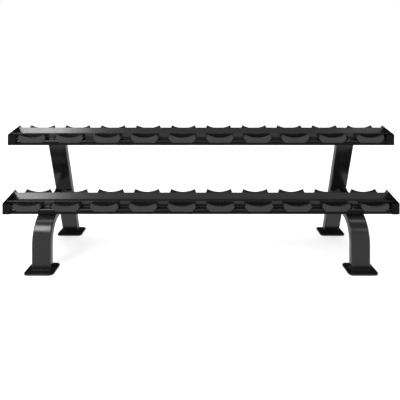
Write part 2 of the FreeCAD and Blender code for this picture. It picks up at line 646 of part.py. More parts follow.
def saddle_x(index):
    return f"({index} - (sizes.saddles_per_row - 1) / 2) * sizes.saddle_pitch"


def make_saddle_pairs(tier, level, masters):
    """Front and rear saddle of each dumbbell on a tier, one node a dumbbell."""
    for index in range(int(value("sizes.saddles_per_row"))):
        label = f"{tier}_saddle_pair_{index + 1:02d}"
        pair = doc.addObject("Part::Compound", label)
        pair.Links = masters
        place_on_tier(pair, level, saddle_x(index))
        keep(pair, label)


# ---- fasteners ----

def add_cylinder(name, diameter, height, v_bottom):
    cylinder = doc.addObject("Part::Cylinder", name)
    cylinder.setExpression("Radius", f"({diameter}) / 2")
    cylinder.setExpression("Height", height)
    cylinder.setExpression("Placement.Base.z", v_bottom)
    return cylinder


def add_hexagon(name, across_corners, height, v_bottom):
    prism = doc.addObject("Part::Prism", name)
    prism.Polygon = 6
    prism.setExpression("Circumradius", f"({across_corners}) / 2")
    prism.setExpression("Height", height)
    prism.setExpression("Placement.Base.z", v_bottom)
    return prism


def join(name, pieces):
    fusion = doc.addObject("Part::MultiFuse", name)
    fusion.Shapes = pieces
    fusion.Refine = True
    return fusion


def cut(name, base, tool):
    result = doc.addObject("Part::Cut", name)
    result.Base = base
    result.Tool = tool
    return result


def make_saddle_bolt():
    """Cap screw down through a saddle and its shelf, whose upper face is at z = 0."""
    seat, end = "sizes.bolt_seat", "sizes.bolt_end"
    shank = add_cylinder("saddle_bolt_shank", size("bolt_diameter"), f"{end} + {seat}", f"-{end}")
    head = add_cylinder("saddle_bolt_head", size("cap_diameter"), size("cap_height"), seat)
    socket = add_hexagon("saddle_bolt_socket", size("cap_socket"), size("cap_socket_depth"),
                         f"{seat} + sizes.cap_height - sizes.cap_socket_depth")
    return cut("saddle_bolt", join("saddle_bolt_blank", [shank, head]), socket)


def make_saddle_nut():
    """Flanged nut under a shelf, whose upper face is at z = 0."""
    flange_height, height = "sizes.nut_flange_height", "sizes.nut_height"
    bottom = f"-(sizes.sheet + {flange_height} + {height})"
    flange = add_cylinder("nut_flange", size("nut_flange"), flange_height, f"-(sizes.sheet + {flange_height})")
    hexagon = add_hexagon("nut_hexagon", size("nut_size"), height, bottom)
    bore = add_cylinder("nut_bore", size("bolt_diameter"), f"{flange_height} + {height}", bottom)
    return cut("saddle_nut", join("nut_blank", [flange, hexagon]), bore)


def make_tier_bolt():
    """Flanged hexagon bolt down through a shelf into a cross tie; the shelf is at z = 0."""
    reach = "sizes.tier_bolt_reach"
    shank = add_cylinder("tier_bolt_shank", size("bolt_diameter"), reach, f"-{reach}")
    collar = add_cylinder("tier_bolt_collar", size("nut_flange"), size("nut_flange_height"), "0")
    head = add_hexagon("tier_bolt_hexagon", size("nut_size"), size("tier_bolt_head"), size("nut_flange_height"))
    return join("tier_bolt", [shank, collar, head])


def make_group(label, master, places, level):
    """Copies of one fastener at places on a tier, together in one node."""
    copies = []
    for number, (x, u, v) in enumerate(places, start=1):
        copy = doc.addObject("Part::Compound", f"{label}_{number}")
        copy.Links = [master]
        place(copy, x, u, v)
        copies.append(copy)
    group = doc.addObject("Part::Compound", label)
    group.Links = copies
    place_on_tier(group, level)
    keep(group, label)


def make_tier(tier, level, masters, fasteners):
    for side_name, side in SIDES:
        make_mount_plate(f"{tier}_mount_plate_{side_name}", side, tier, level)
        make_cross_tie(f"{tier}_cross_tie_{side_name}", side, level)
        make_end_plate(f"{tier}_end_plate_{side_name}", side, level)
        make_corner_bracket(f"{tier}_corner_bracket_{side_name}", side, level)
    for row in INWARDS:
        make_rail(f"{tier}_{row}_rail", row, level)
    make_pan(f"{tier}_pan", level)
    make_saddle_pairs(tier, level, masters)
    saddle_places = [(saddle_x(index), saddle_u(row, size("bolt_inset")), f"-sizes.{row}_shelf_drop")
                     for row in INWARDS for index in range(int(value("sizes.saddles_per_row")))]
    tier_places = [(f"{side} * sizes.tier_bolt_x", place_u, "-sizes.front_shelf_drop")
                   for _, side in SIDES for place_u in ("sizes.tier_bolt_front", "sizes.tier_bolt_rear")]
    saddle_bolt, saddle_nut, tier_bolt = fasteners
    make_group(f"{tier}_saddle_bolts", saddle_bolt, saddle_places, level)
    make_group(f"{tier}_saddle_nuts", saddle_nut, saddle_places, level)
    make_group(f"{tier}_tier_bolts", tier_bolt, tier_places, level)


def make_everything():
    for side_name, side in SIDES:
        make_front_leg(f"front_leg_{side_name}", side)
        make_rear_post(f"rear_post_{side_name}", side)
        make_foot_plate(f"front_foot_plate_{side_name}", side, -1)
        make_foot_plate(f"rear_foot_plate_{side_name}", side, 1)
    masters = [make_saddle(f"{row}_saddle", row) for row in INWARDS]
    fasteners = (make_saddle_bolt(), make_saddle_nut(), make_tier_bolt())
    for level, tier in enumerate(TIERS):
        make_tier(tier, level, masters, fasteners)


def check_everything():
    for feature in doc.Objects:
        if "Invalid" in feature.State or "Error" in feature.State:
            raise RuntimeError(f"{feature.Name} ({feature.Label}) is {feature.State}")
    for feature in nodes:
        if feature.Shape.isNull() or not feature.Shape.isValid() or not feature.Shape.Solids:
            raise RuntimeError(f"{feature.Label} has no valid shape")


def write_everything():
    os.makedirs("parts", exist_ok=True)
    for feature in nodes:
        feature.Shape.exportStep(f"parts/{feature.Label}.step")
    whole = Part.makeCompound([feature.Shape for feature in nodes]).BoundBox
    print(f"{len(nodes)} sub-parts, {whole.XLength:.1f} x {whole.YLength:.1f} x {whole.ZLength:.1f} mm,"
          f" y {whole.YMin:.1f} to {whole.YMax:.1f}, z {whole.ZMin:.1f} to {whole.ZMax:.1f}")


fill_sheet()
make_everything()
doc.recompute()
check_everything()
write_everything()
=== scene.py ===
from math import atan2, ceil, cos, pi, radians, sin, sqrt, tan

import bmesh
import bpy
from bpy.props import FloatProperty, FloatVectorProperty, IntProperty, PointerProperty
from mathutils import Matrix, Vector


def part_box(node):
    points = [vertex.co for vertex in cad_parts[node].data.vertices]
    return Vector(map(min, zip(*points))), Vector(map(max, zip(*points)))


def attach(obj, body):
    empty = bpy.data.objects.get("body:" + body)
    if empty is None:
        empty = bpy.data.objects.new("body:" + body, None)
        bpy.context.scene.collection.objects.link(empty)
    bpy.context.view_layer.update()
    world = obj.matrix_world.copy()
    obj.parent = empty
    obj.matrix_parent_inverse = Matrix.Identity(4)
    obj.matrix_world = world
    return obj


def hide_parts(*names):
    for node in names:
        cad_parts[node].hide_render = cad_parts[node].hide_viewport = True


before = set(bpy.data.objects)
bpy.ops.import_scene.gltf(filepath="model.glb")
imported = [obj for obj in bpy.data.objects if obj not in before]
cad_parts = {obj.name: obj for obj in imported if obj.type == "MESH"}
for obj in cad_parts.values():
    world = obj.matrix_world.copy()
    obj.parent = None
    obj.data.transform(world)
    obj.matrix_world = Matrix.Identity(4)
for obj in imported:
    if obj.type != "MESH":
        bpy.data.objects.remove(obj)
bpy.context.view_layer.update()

bl_info = {
    "name": "Two-tier dumbbell rack",
    "version": (1, 0, 0),
    "blender": (4, 5, 0),
    "location": "View3D > Sidebar > Rack",
    "description": "Builds the visible pieces of a saddle rack around its CAD frame",
    "category": "Add Mesh",
}

BODY = "root"
SIDES = ("left", "right")
TIERS = ("lower", "upper")
ROWS = ("front", "rear")
MM = 0.001
SMOOTH_BELOW = radians(32)
MERGE_BELOW = 1e-6
# Corner brackets stand this far inside the outline of the end plates.
BRACKET_MARGIN = 1 * MM
# Points round an arc of each kind.
ROUND_STEPS = 6
EDGE_STEPS = 4
PLATE_EDGE_STEPS = 3
CRADLE_STEPS = 28
RECESS_STEPS = 32
TURNED_STEPS = 24
# Painted reflection: the post plug is a dark piece standing in for the reflection of a bolt's end in the
# post's gloss paint. Radius, as a share of the plug's, and height over the post's face, from the plug's root
# to its dimple.
REFLECTION_SPOT_PROFILE = ((0.8, -1.0 * MM), (1.0, -0.2 * MM), (1.0, 0.8 * MM),
                (0.8, 1.4 * MM), (0.35, 1.5 * MM), (0.3, 0.6 * MM))
# Half the side of the studio floor.
FLOOR_REACH = 60.0
# Name, place, aim, width, height and power of the soft lights that fall on everything.
SOFT_LIGHTS = (
    ("key_light", (-2.45, -2.5, 2.65), (-0.7, -0.2, 0.5), 1.9, 1.1, 66.0),
    ("fill_light", (2.6, -2.7, 2.4), (0.9, -0.2, 0.4), 1.2, 0.5, 4.0),
    ("top_light", (0.0, -1.04, 3.5), (0.0, -1.0, 0.0), 6.0, 0.4, 22.0),
)
# The same for the light that falls on the rails alone.
RAIL_LIGHT = ("web_light", (-2.7, -2.5, 1.5), (-1.0, -0.1, 0.6), 1.8, 1.6, 76.0)
FLOOR_LIGHT_POWER = 4.3
FLOOR_LIGHT_SPREAD = radians(120)
# Brightness of the room by direction: a stop is a place from 0 to 1 along an axis, and its brightness.
ROOM_BACKWARDS = ((0.42, 1.0), (0.56, 0.03))
ROOM_UPWARDS_BELOW = ((0.44, 0.9), (0.50, 0.0))
ROOM_UPWARDS = ((0.66, 0.86), (0.80, 0.40))
WHITE = (1.0, 1.0, 1.0, 1.0)
CAMERA_PLACE = (0.0, -2.8265, 1.219)
CAMERA_SENSOR, CAMERA_LENS = 36.0, 37.98
CAMERA_SHIFT = (-0.0026, -0.3325)


# ---- sizes and colours ----

def length(name, default, description):
    return FloatProperty(name=name, default=default, description=description, unit="LENGTH",
                         min=0.0, precision=4)


def angle(name, default, description):
    return FloatProperty(name=name, default=radians(default), description=description, unit="ROTATION")


def colour(name, default, description):
    return FloatVectorProperty(name=name, default=default, description=description, subtype="COLOR",
                               size=3, min=0.0, max=1.0)


class FrameSizes(bpy.types.PropertyGroup):
    """Side frames: legs, posts and the plates under and over them."""
    tube_depth: length("Tube depth", 0.050, "Depth of the rectangular tube")
    tube_corner: length("Tube corner", 0.008, "Outer corner radius of the tube")
    leg_bend: length("Leg bend", 0.169, "Outer radius of the front leg's bend")
    bend_steps: IntProperty(name="Bend steps", default=40, min=4, description="Sections along the bend")
    post_lean: angle("Post lean", 23.3, "How far the rear post leans forward")
    foot_corner: length("Foot corner", 0.026, "Corner radius of a foot plate")
    foot_edge: length("Foot edge", 0.0018, "Rounding of a foot plate's edges")
    foot_hole: length("Anchor hole", 0.013, "Diameter of an anchor hole")
    foot_hole_across: length("Anchor holes across", 0.118, "Spacing of the anchor holes along the rack")
    foot_hole_along: length("Anchor holes along", 0.100, "Spacing of the anchor holes front to back")
    mount_corner: length("Mount corner", 0.006, "Corner radius of a mounting plate")
    mount_edge: length("Mount edge", 0.0008, "Rounding of a mounting plate's edges")
    lower_mount: length("Lower mounting plate", 0.004, "Thickness of the plate under the lower tier")
    upper_mount: length("Upper mounting plate", 0.012, "Thickness of the plate under the upper tier")
    lower_mount_start: length("Lower plate start", 0.006, "Front edge of the lower plate, along the tier")
    lower_mount_length: length("Lower plate length", 0.190, "Length of the lower plate")
    upper_mount_start: length("Upper plate start", 0.033, "Front edge of the upper plate, along the tier")
    upper_mount_length: length("Upper plate length", 0.166, "Length of the upper plate")
    # Painted reflection: the post plug is a dark piece standing in for the reflection of a bolt's end in the
    # post's gloss paint.
    reflection_spot_offset: length("Plug offset", 0.0214, "Post plug inwards from the post's middle")
    reflection_spot_height: length("Plug height", 0.697, "Height of the plug in the post's front face")
    reflection_spot_radius: length("Plug radius", 0.006, "Radius of the plug in the post's front face")
    weld_offset: length("Weld offset", 0.0008, "Middle of a weld outside the tube that it runs round")
    weld_spacing: length("Weld spacing", 0.0023, "From one ripple of a weld to the next")
    weld_bead: length("Weld bead", 0.0034, "Radius of a ripple")


class TierSizes(bpy.types.PropertyGroup):
    """Tiers: rails, pans, end plates and corner brackets."""
    slope: angle("Slope", 11.0, "How far a tier rises to the back")
    drop: length("Tier depth", 0.066, "Tier's underside below its top line")
    sheet: length("Sheet", 0.003, "Thickness of the folded sheet")
    bend: length("Sheet bend", 0.002, "Inner radius of the sheet's bends")
    cut_edge: length("Cut edge", 0.0006, "Rounding of the sheet's cut edges")
    front_edge: length("Front edge", 0.006, "Front rail's outer face")
    front_web: length("Front web", 0.041, "Front web's outer face, at its top")
    front_web_lean: length("Front web lean", 0.0, "Front web's foot towards the middle from its top")
    front_splay: length("Front edge splay", 0.0047, "Foot of the front edge further out")
    front_web_drop: length("Front web drop", 0.005, "Front web's top under the tier's top line")
    front_shelf: length("Front shelf", 0.042, "Front shelf under the tier's top line")
    rear_edge: length("Rear edge", 0.202, "Rear rail's outer face")
    rear_web: length("Rear web", 0.157, "Rear web's outer face, at its top")
    rear_web_lean: length("Rear web lean", 0.0215, "Rear web's foot towards the middle from its top")
    rear_splay: length("Rear edge splay", 0.0, "Foot of the rear edge further out")
    rear_web_drop: length("Rear web drop", 0.006, "Rear web's top under the tier's top line")
    rear_shelf: length("Rear shelf", 0.047, "Rear shelf under the tier's top line")
    hem_depth: length("Hem depth", 0.005, "Hem at a web's top, along the tier")
    hem_height: length("Hem height", 0.009, "Hem at a web's top, square to the tier")
    hem_round: length("Hem rounding", 0.0022, "Rounding of the hem")
    pan_side: length("Pan side", 0.018, "Upturned front side of the pan")
    pan_end: length("Pan end", 0.133, "Rear edge of the pan, along the tier")
    # Painted shade: the strip below is a near-black matt sheet over the front rail's turned-down edge,
    # darkening it as shade would.
    trim: length("Edge trim", 0.0015, "Rubber trim over the front rail's turned-down edge")
    shade_strip_lip: length("Edge trim lip", 0.0045, "How far the rubber trim hangs below that edge")
    shade_strip_edge: length("Edge trim rounding", 0.0005, "Rounding of the rubber trim")
    bracket_return: length("Bracket return", 0.012, "Corner bracket's leg along the end plate")
    bracket_edge: length("Bracket edge", 0.0008, "Rounding of a corner bracket's free edge")
    plate_top: length("Plate top", 0.183, "Top edge of an end plate, along the slope")
    plate_height: length("Plate height", 0.068, "Upright front edge of an end plate")
    plate_back: length("Plate back", 0.0004, "Where an end plate's back edge starts")
    plate_corner: length("Plate corner", 0.003, "Corner radius of an end plate")
    plate_edge: length("Plate edge", 0.001, "Rounding of an end plate's edges")


class SaddleSizes(bpy.types.PropertyGroup):
    """Saddles. Heights are over the shelf, depths from the outer face."""
    pitch: length("Pitch", 0.2384, "From one dumbbell to the next")
    count: IntProperty(name="Count", default=10, min=1, description="Saddles in a row")
    lap: length("Skirt lap", 0.004, "Skirt in front of the rail")
    skirt: length("Skirt", 0.016, "Skirt below the shelf")
    depth: length("Depth", 0.036, "Saddle along the tier")
    rim: length("Rim", 0.0055, "Raised rim along the hollow's outer edge")
    rim_step: length("Rim step", 0.0022, "Height of that rim")
    rise: length("Rise", 0.041, "Tips above the shelf")
    back_rise: length("Back rise", 0.028, "Top above the shelf where it meets the web")
    shoulder: length("Shoulder", 0.015, "Greatest width above the shelf")
    top: length("Top width", 0.156, "Width over the tips")
    width: length("Width", 0.176, "Greatest width")
    foot: length("Foot width", 0.124, "Width at the bottom of the skirt")
    corner: length("Corner", 0.006, "Corner radius")
    tip: length("Tip", 0.0016, "Radius of the tips")
    edge: length("Edge", 0.0015, "Rounding along the faces")
    cradle_radius: length("Hollow radius", 0.155, "Radius of the hollow")
    cradle_rise: length("Hollow rise", 0.020, "Lowest point of the hollow, on the outer face")
    cradle_tilt: angle("Hollow tilt", 14.0, "How far the hollow falls inwards")
    bolt_inset: length("Bolt inset", 0.028, "Bolt from the outer face")
    bolt_seat: length("Bolt seat", 0.005, "Underside of the bolt's head")
    recess: length("Recess", 0.022, "Diameter of the recess for the bolt's head")


class FastenerSizes(bpy.types.PropertyGroup):
    """Cap screws in the saddles, nuts under them, and the bolts that hold the tiers down."""
    shank: length("Shank", 0.005, "Radius of every bolt's shank")
    thread_pitch: length("Thread pitch", 0.002, "From one turn of the thread to the next")
    thread_depth: length("Thread depth", 0.00055, "Depth of the thread")
    cap_end: length("Cap screw end", 0.035, "End of a cap screw under its shelf's upper face")
    cap_thread_top: length("Cap screw thread top", 0.002, "Top of a cap screw's thread under that face")
    cap_radius: length("Cap radius", 0.008, "Radius of a cap screw's head")
    cap_height: length("Cap height", 0.008, "Height of a cap screw's head")
    cap_chamfer: length("Cap chamfer", 0.0008, "Chamfer round a cap screw's head")
    socket: length("Socket", 0.009, "Hexagon socket across its corners")
    socket_depth: length("Socket depth", 0.005, "Depth of the hexagon socket")
    hexagon: length("Hexagon", 0.0196, "Nuts and bolt heads across their corners")
    crown: length("Crown", 0.0082, "Radius of the flat end of a nut or bolt head")
    flange: length("Flange", 0.011, "Radius of the round flanges")
    flange_height: length("Flange height", 0.0025, "Height of the round flanges")
    nut_height: length("Nut height", 0.009, "Hexagon of a nut")
    nut_chamfer: length("Nut chamfer", 0.0012, "Chamfer at a nut's lower end")
    nut_bore: length("Nut bore", 0.0051, "Radius of a nut's bore")
    bolt_head: length("Bolt head", 0.0064, "Hexagon of a tier bolt's head")
    bolt_chamfer: length("Bolt chamfer", 0.001, "Chamfer at the top of a tier bolt's head")
    bolt_end: length("Tier bolt end", 0.014, "End of a tier bolt under its shelf's upper face")
    bolt_thread_top: length("Tier bolt thread top", 0.003, "Top of a tier bolt's thread under that face")
    tier_bolt_x: length("Tier bolt", 0.941, "Tier bolt from the rack's middle")
    tier_bolt_front: length("Front tier bolt", 0.019, "Front tier bolt along the tier")
    tier_bolt_rear: length("Rear tier bolt", 0.108, "Rear tier bolt along the tier")


class FinishColours(bpy.types.PropertyGroup):
    """Colours of the finishes, in linear values."""
    paint: colour("Paint", (0.0065, 0.0065, 0.0068), "Gloss black powder coat")
    paint_dust: colour("Dust", (0.030, 0.029, 0.027), "Dust on the paint")
    saddle: colour("Saddle", (0.019, 0.0185, 0.017), "Moulded saddles")
    saddle_worn: colour("Saddle wear", (0.036, 0.035, 0.033), "Saddles where they are rubbed")
    # Painted shade: near-black matt colours, with random mottle, for the strips over the front rails'
    # turned-down edges and for the corner brackets.
    painted_shade_black: colour("Rubber", (0.002, 0.002, 0.002), "Matt black trim")
    painted_shade_black_mottle: colour("Rubber wear", (0.005, 0.005, 0.005), "Matt black trim where it is dusty")
    bolt: colour("Bolt", (0.035, 0.035, 0.037), "Black oxide on the bolts")
    bolt_worn: colour("Bolt wear", (0.16, 0.155, 0.15), "Bolts where the oxide is thin")
    floor: colour("Floor", (0.86, 0.86, 0.86), "Studio floor")


def frame_sizes():
    return bpy.context.scene.rack_frame


def tier_sizes():
    return bpy.context.scene.rack_tier


def saddle_sizes():
    return bpy.context.scene.rack_saddle


def fastener_sizes():
    return bpy.context.scene.rack_fasteners


def colours():
    return bpy.context.scene.rack_colours


# ---- shader maths ----

class Wire:
    """A shader socket that takes part in Python arithmetic by adding Math nodes."""

    def __init__(self, shader, socket):
        self.shader = shader
        self.socket = socket

    def maths(self, operation, *values):
        return self.shader.node("ShaderNodeMath", {"operation": operation}, *values).out()

    def __add__(self, other):
        return self.maths("ADD", self, other)

    def __radd__(self, other):
        return self.maths("ADD", other, self)

    def __sub__(self, other):
        return self.maths("SUBTRACT", self, other)

    def __rsub__(self, other):
        return self.maths("SUBTRACT", other, self)

    def __mul__(self, other):
        return self.maths("MULTIPLY", self, other)

    def __rmul__(self, other):
        return self.maths("MULTIPLY", other, self)

    def clamped(self):
        return self.shader.node("ShaderNodeClamp", {}, self).out()


class Node:
    """A node whose outputs are read as wires."""

    def __init__(self, shader, made):
        self.shader = shader
        self.made = made

    def out(self, name=0):
        return Wire(self.shader, self.made.outputs[name])


class Shader:
    """A material, or the world, and its node tree."""

    def __init__(self, owner):
        owner.use_nodes = True
        self.tree = owner.node_tree
        self.tree.nodes.clear()

    def node(self, kind, settings, *values, **named):
        """A node of a type: its settings first, then its sockets by order and by name."""
        made = self.tree.nodes.new(kind)
        for setting, chosen in settings.items():
            if setting == "stops":
                self.set_stops(made.color_ramp, chosen)
            else:
                setattr(made, setting, chosen)
        pairs = list(enumerate(values))
        pairs += [(name.replace("_", " "), given) for name, given in named.items()]
        for key, given in pairs:
            self.feed(made.inputs[key], given)
        return Node(self, made)

    def feed(self, socket, given):
        if isinstance(given, Wire):
            self.tree.links.new(given.socket, socket)
        else:
            socket.default_value = given

    @staticmethod
    def set_stops(ramp, stops):
        while len(ramp.elements) < len(stops):
            ramp.elements.new(1.0)
        for element, (position, shade) in zip(ramp.elements, stops):
            element.position = position
            element.color = (shade, shade, shade, 1.0)

    def noise(self, where, scale, detail=2.0, roughness=0.5):
        made = self.node("ShaderNodeTexNoise", {}, Vector=where, Scale=scale, Detail=detail,
                         Roughness=roughness)
        return made.out("Fac")

    def ramp(self, wire, *stops):
        return self.node("ShaderNodeValToRGB", {"stops": stops}, wire).out()

    def blend(self, factor, first, second):
        """A colour between two colours."""
        made = self.node("ShaderNodeMix", {"data_type": "RGBA"}, Factor=factor)
        colour_a, colour_b, result = 6, 7, 2
        self.feed(made.made.inputs[colour_a], first)
        self.feed(made.made.inputs[colour_b], second)
        return made.out(result)

    def bump(self, height, strength, distance):
        return self.node("ShaderNodeBump", {}, Height=height, Strength=strength, Distance=distance).out()


def opaque(rgb):
    return (*rgb, 1.0)


def new_material(name):
    material = bpy.data.materials.new(name)
    return material, Shader(material)


def close_material(shader, principled):
    shader.node("ShaderNodeOutputMaterial", {}, Surface=principled.out())


def black_paint():
    """Gloss black powder coat: orange peel, faint smears, a little dust on upward faces."""
    material, shader = new_material("gloss_black_paint")
    place = shader.node("ShaderNodeTexCoord", {}).out("Object")
    facing = shader.node("ShaderNodeNewGeometry", {}).out("Normal")
    upward = shader.node("ShaderNodeSeparateXYZ", {}, facing).out("Z")
    specks = shader.ramp(shader.noise(place, scale=420.0, detail=3.0), (0.56, 0.0), (0.74, 1.0))
    clouds = shader.ramp(shader.noise(place, scale=6.0, detail=4.0), (0.42, 0.0), (0.72, 1.0))
    dust = (upward.clamped() * clouds * (specks * 0.5 + 0.15)).clamped()
    smears = shader.ramp(shader.noise(place, scale=14.0, detail=5.0, roughness=0.6), (0.35, 0.0), (0.75, 1.0))
    peel = shader.noise(place, scale=520.0)
    waves = shader.noise(place, scale=90.0, detail=1.0)
    height = peel * 0.35 + waves * 0.65
    principled = shader.node(
        "ShaderNodeBsdfPrincipled", {},
        Base_Color=shader.blend(dust * 0.35, opaque(colours().paint), opaque(colours().paint_dust)),
        Roughness=smears * 0.07 + dust * 0.25 + 0.17,
        Normal=shader.bump(height, strength=0.22, distance=0.4 * MM))
    close_material(shader, principled)
    return material


def moulded_plastic():
    """Charcoal moulded polyurethane with a fine leather grain and rubbed edges."""
    material, shader = new_material("charcoal_moulding")
    place = shader.node("ShaderNodeTexCoord", {}).out("Object")
    edges = shader.node("ShaderNodeNewGeometry", {}).out("Pointiness")
    rubbed = shader.ramp(edges, (0.51, 0.0), (0.60, 1.0))
    scuffs = shader.ramp(shader.noise(place, scale=38.0, detail=6.0, roughness=0.65),
                         (0.50, 0.0), (0.80, 1.0))
    mottle = shader.noise(place, scale=9.0, detail=3.0)
    wear = (rubbed * 0.55 + scuffs * 0.25 + mottle * 0.2).clamped()
    cells = shader.node("ShaderNodeTexVoronoi", {"feature": "F1"}, Vector=place, Scale=700.0).out("Distance")
    grain = shader.noise(place, scale=1500.0)
    principled = shader.node(
        "ShaderNodeBsdfPrincipled", {},
        Base_Color=shader.blend(wear, opaque(colours().saddle), opaque(colours().saddle_worn)),
        Roughness=0.50 - rubbed * 0.10 + mottle * 0.08,
        Normal=shader.bump(cells * 0.7 + grain * 0.3, strength=0.35, distance=0.3 * MM))
    close_material(shader, principled)
    return material


def oxide_steel():
    """Black oxide on steel, thin and brighter along its edges."""
    material, shader = new_material("black_oxide_steel")
    place = shader.node("ShaderNodeTexCoord", {}).out("Object")
    edges = shader.node("ShaderNodeNewGeometry", {}).out("Pointiness")
    rubbed = shader.ramp(edges, (0.52, 0.0), (0.62, 1.0))
    blotches = shader.noise(place, scale=160.0, detail=4.0)
    tooling = shader.noise(place, scale=900.0)
    principled = shader.node(
        "ShaderNodeBsdfPrincipled", {},
        Base_Color=shader.blend((rubbed * 0.7 + blotches * 0.2).clamped(),
                                opaque(colours().bolt), opaque(colours().bolt_worn)),
        Roughness=0.32 + blotches * 0.16,
        Metallic=0.85,
        Normal=shader.bump(tooling, strength=0.2, distance=0.2 * MM))
    close_material(shader, principled)
    return material


def matt_black():
    """Painted shade: dull black with almost no sheen, for the strips over the front rails' turned-down edges
    and the corner brackets, which it darkens as their shade would.
    """
    material, shader = new_material("matt_black")
    place = shader.node("ShaderNodeTexCoord", {}).out("Object")
    mottle = shader.noise(place, scale=60.0, detail=3.0)
    grain = shader.noise(place, scale=900.0)
    principled = shader.node(
        "ShaderNodeBsdfPrincipled", {},
        Base_Color=shader.blend(mottle, opaque(colours().painted_shade_black), opaque(colours().painted_shade_black_mottle)),
        Roughness=mottle * 0.1 + 0.6,
        Normal=shader.bump(grain, strength=0.15, distance=0.2 * MM))
    principled.made.inputs["Specular IOR Level"].default_value = 0.12
    close_material(shader, principled)
    return material


def finish_named(name, make):
    """The material of a name, made the first time that it is asked for."""
    return bpy.data.materials.get(name) or make()


def paint():
    return finish_named("gloss_black_paint", black_paint)


def plastic():
    return finish_named("charcoal_moulding", moulded_plastic)


# Painted shade: the near-black matt finish of the edge strips and corner brackets.
def painted_shade_black():
    return finish_named("matt_black", matt_black)


def steel():
    return finish_named("black_oxide_steel", oxide_steel)


# ---- outlines and meshes ----

def rounded(corners, steps=ROUND_STEPS):
    """Points of a closed outline whose corners, (x, y, radius), are arcs."""
    points = []
    for index, (x, y, radius) in enumerate(corners):
        corner = Vector((x, y))
        if radius <= 0.0:
            points.append(corner)
            continue
        before = Vector(corners[index - 1][:2]) - corner
        after = Vector(corners[(index + 1) % len(corners)][:2]) - corner
        half = before.angle(after) / 2
        centre = corner + (before.normalized() + after.normalized()).normalized() * (radius / sin(half))
        start = corner + before.normalized() * (radius / tan(half)) - centre
        end = corner + after.normalized() * (radius / tan(half)) - centre
        turn = start.angle_signed(end)
        for step in range(steps + 1):
            share = turn * step / steps
            points.append(centre + Matrix.Rotation(-share, 2) @ start)
    return points


def rounded_box(width, depth, radius, centre=(0.0, 0.0)):
    x, y = centre
    return rounded([(x + sx * width / 2, y + sy * depth / 2, radius)
                    for sx, sy in ((-1, -1), (1, -1), (1, 1), (-1, 1))])


def circle(radius, steps, centre=(0.0, 0.0)):
    return [Vector((centre[0] + radius * cos(2 * pi * step / steps),
                    centre[1] + radius * sin(2 * pi * step / steps))) for step in range(steps)]


def hexagon(across, steps):
    """Points round a hexagon, at even angles; steps is a multiple of six."""
    sixth = pi / 3
    points = []
    for step in range(steps):
        turn = 2 * pi * step / steps
        off_flat = (turn % sixth) - sixth / 2
        reach = across / 2 * cos(sixth / 2) / cos(off_flat)
        points.append(Vector((reach * cos(turn), reach * sin(turn))))
    return points


def loft(mesh, rings):
    """A closed skin through rings of points, with a face across each end."""
    rows = [[mesh.verts.new(point) for point in ring] for ring in rings]
    for row, above in zip(rows, rows[1:]):
        for index in range(len(row)):
            following = (index + 1) % len(row)
            mesh.faces.new((row[index], row[following], above[following], above[index]))
    mesh.faces.new(list(reversed(rows[0])))
    mesh.faces.new(rows[-1])


def at_height(outline, height):
    return [Vector((point.x, point.y, height)) for point in outline]


def along_x(outline, low, high):
    """Two rings that carry an outline, drawn front to back and up, along the rack."""
    return [[Vector((x, point.x, point.y)) for point in outline] for x in (low, high)]


def lofted(name, rings):
    """A smooth-shaded mesh with outward faces through rings of points."""
    made = bmesh.new()
    loft(made, rings)
    bmesh.ops.remove_doubles(made, verts=made.verts, dist=MERGE_BELOW)
    bmesh.ops.recalc_face_normals(made, faces=made.faces)
    mesh = bpy.data.meshes.new(name)
    made.to_mesh(mesh)
    made.free()
    return shaded(mesh)


def shaded(mesh):
    """A mesh that is smooth but for the edges that turn sharply."""
    mesh.shade_smooth()
    mesh.set_sharp_from_angle(angle=SMOOTH_BELOW)
    return mesh


def flat_plate(name, outline, holes, thickness, edge):
    """A plate cut to an outline and drilled, with its edges rounded, standing on z = 0."""
    curve = bpy.data.curves.new(name, "CURVE")
    curve.dimensions = "2D"
    curve.fill_mode = "BOTH"
    curve.extrude = thickness / 2 - edge
    curve.bevel_depth = edge
    curve.bevel_resolution = PLATE_EDGE_STEPS
    curve.offset = -edge
    for ring in (outline, *holes):
        spline = curve.splines.new("POLY")
        spline.points.add(len(ring) - 1)
        for point, where in zip(spline.points, ring):
            point.co = (where.x, where.y, 0.0, 1.0)
        spline.use_cyclic_u = True
    drawn = bpy.data.objects.new(name, curve)
    bpy.context.scene.collection.objects.link(drawn)
    bpy.context.view_layer.update()
    mesh = bpy.data.meshes.new_from_object(drawn.evaluated_get(bpy.context.evaluated_depsgraph_get()))
    bpy.data.objects.remove(drawn)
    bpy.data.curves.remove(curve)
    mesh.transform(Matrix.Translation((0.0, 0.0, thickness / 2)))
    return smooth_again(mesh)


def smooth_again(mesh):
    """Doubles merged, faces outward, and edges sharp again by their angle."""
    welded = bmesh.new()
    welded.from_mesh(mesh)
    bmesh.ops.remove_doubles(welded, verts=welded.verts, dist=MERGE_BELOW)
    bmesh.ops.recalc_face_normals(welded, faces=welded.faces)
    welded.to_mesh(mesh)
    welded.free()
    return shaded(mesh)


def joined(name, meshes):
    """One mesh made of several, each with the matrix that places it."""
    whole = bmesh.new()
    for mesh, matrix in meshes:
        part = mesh.copy()
        part.transform(matrix)
        whole.from_mesh(part)
        bpy.data.meshes.remove(part)
    result = bpy.data.meshes.new(name)
    whole.to_mesh(result)
    whole.free()
    return shaded(result)


def add_piece(name, mesh, material, replaced=(), matrix=None, weighted=True):
    """Put a finished mesh in the scene, riding on the rack, in place of its CAD nodes."""
    if matrix is not None:
        mesh.transform(matrix)
    mesh.materials.clear()
    mesh.materials.append(material)
    piece = bpy.data.objects.new(name, mesh)
    bpy.context.scene.collection.objects.link(piece)
    if weighted:
        normals = piece.modifiers.new("even_normals", "WEIGHTED_NORMAL")
        normals.keep_sharp = True
    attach(piece, BODY)
    if replaced:
        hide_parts(*replaced)
    return piece


# ---- places on the frame ----

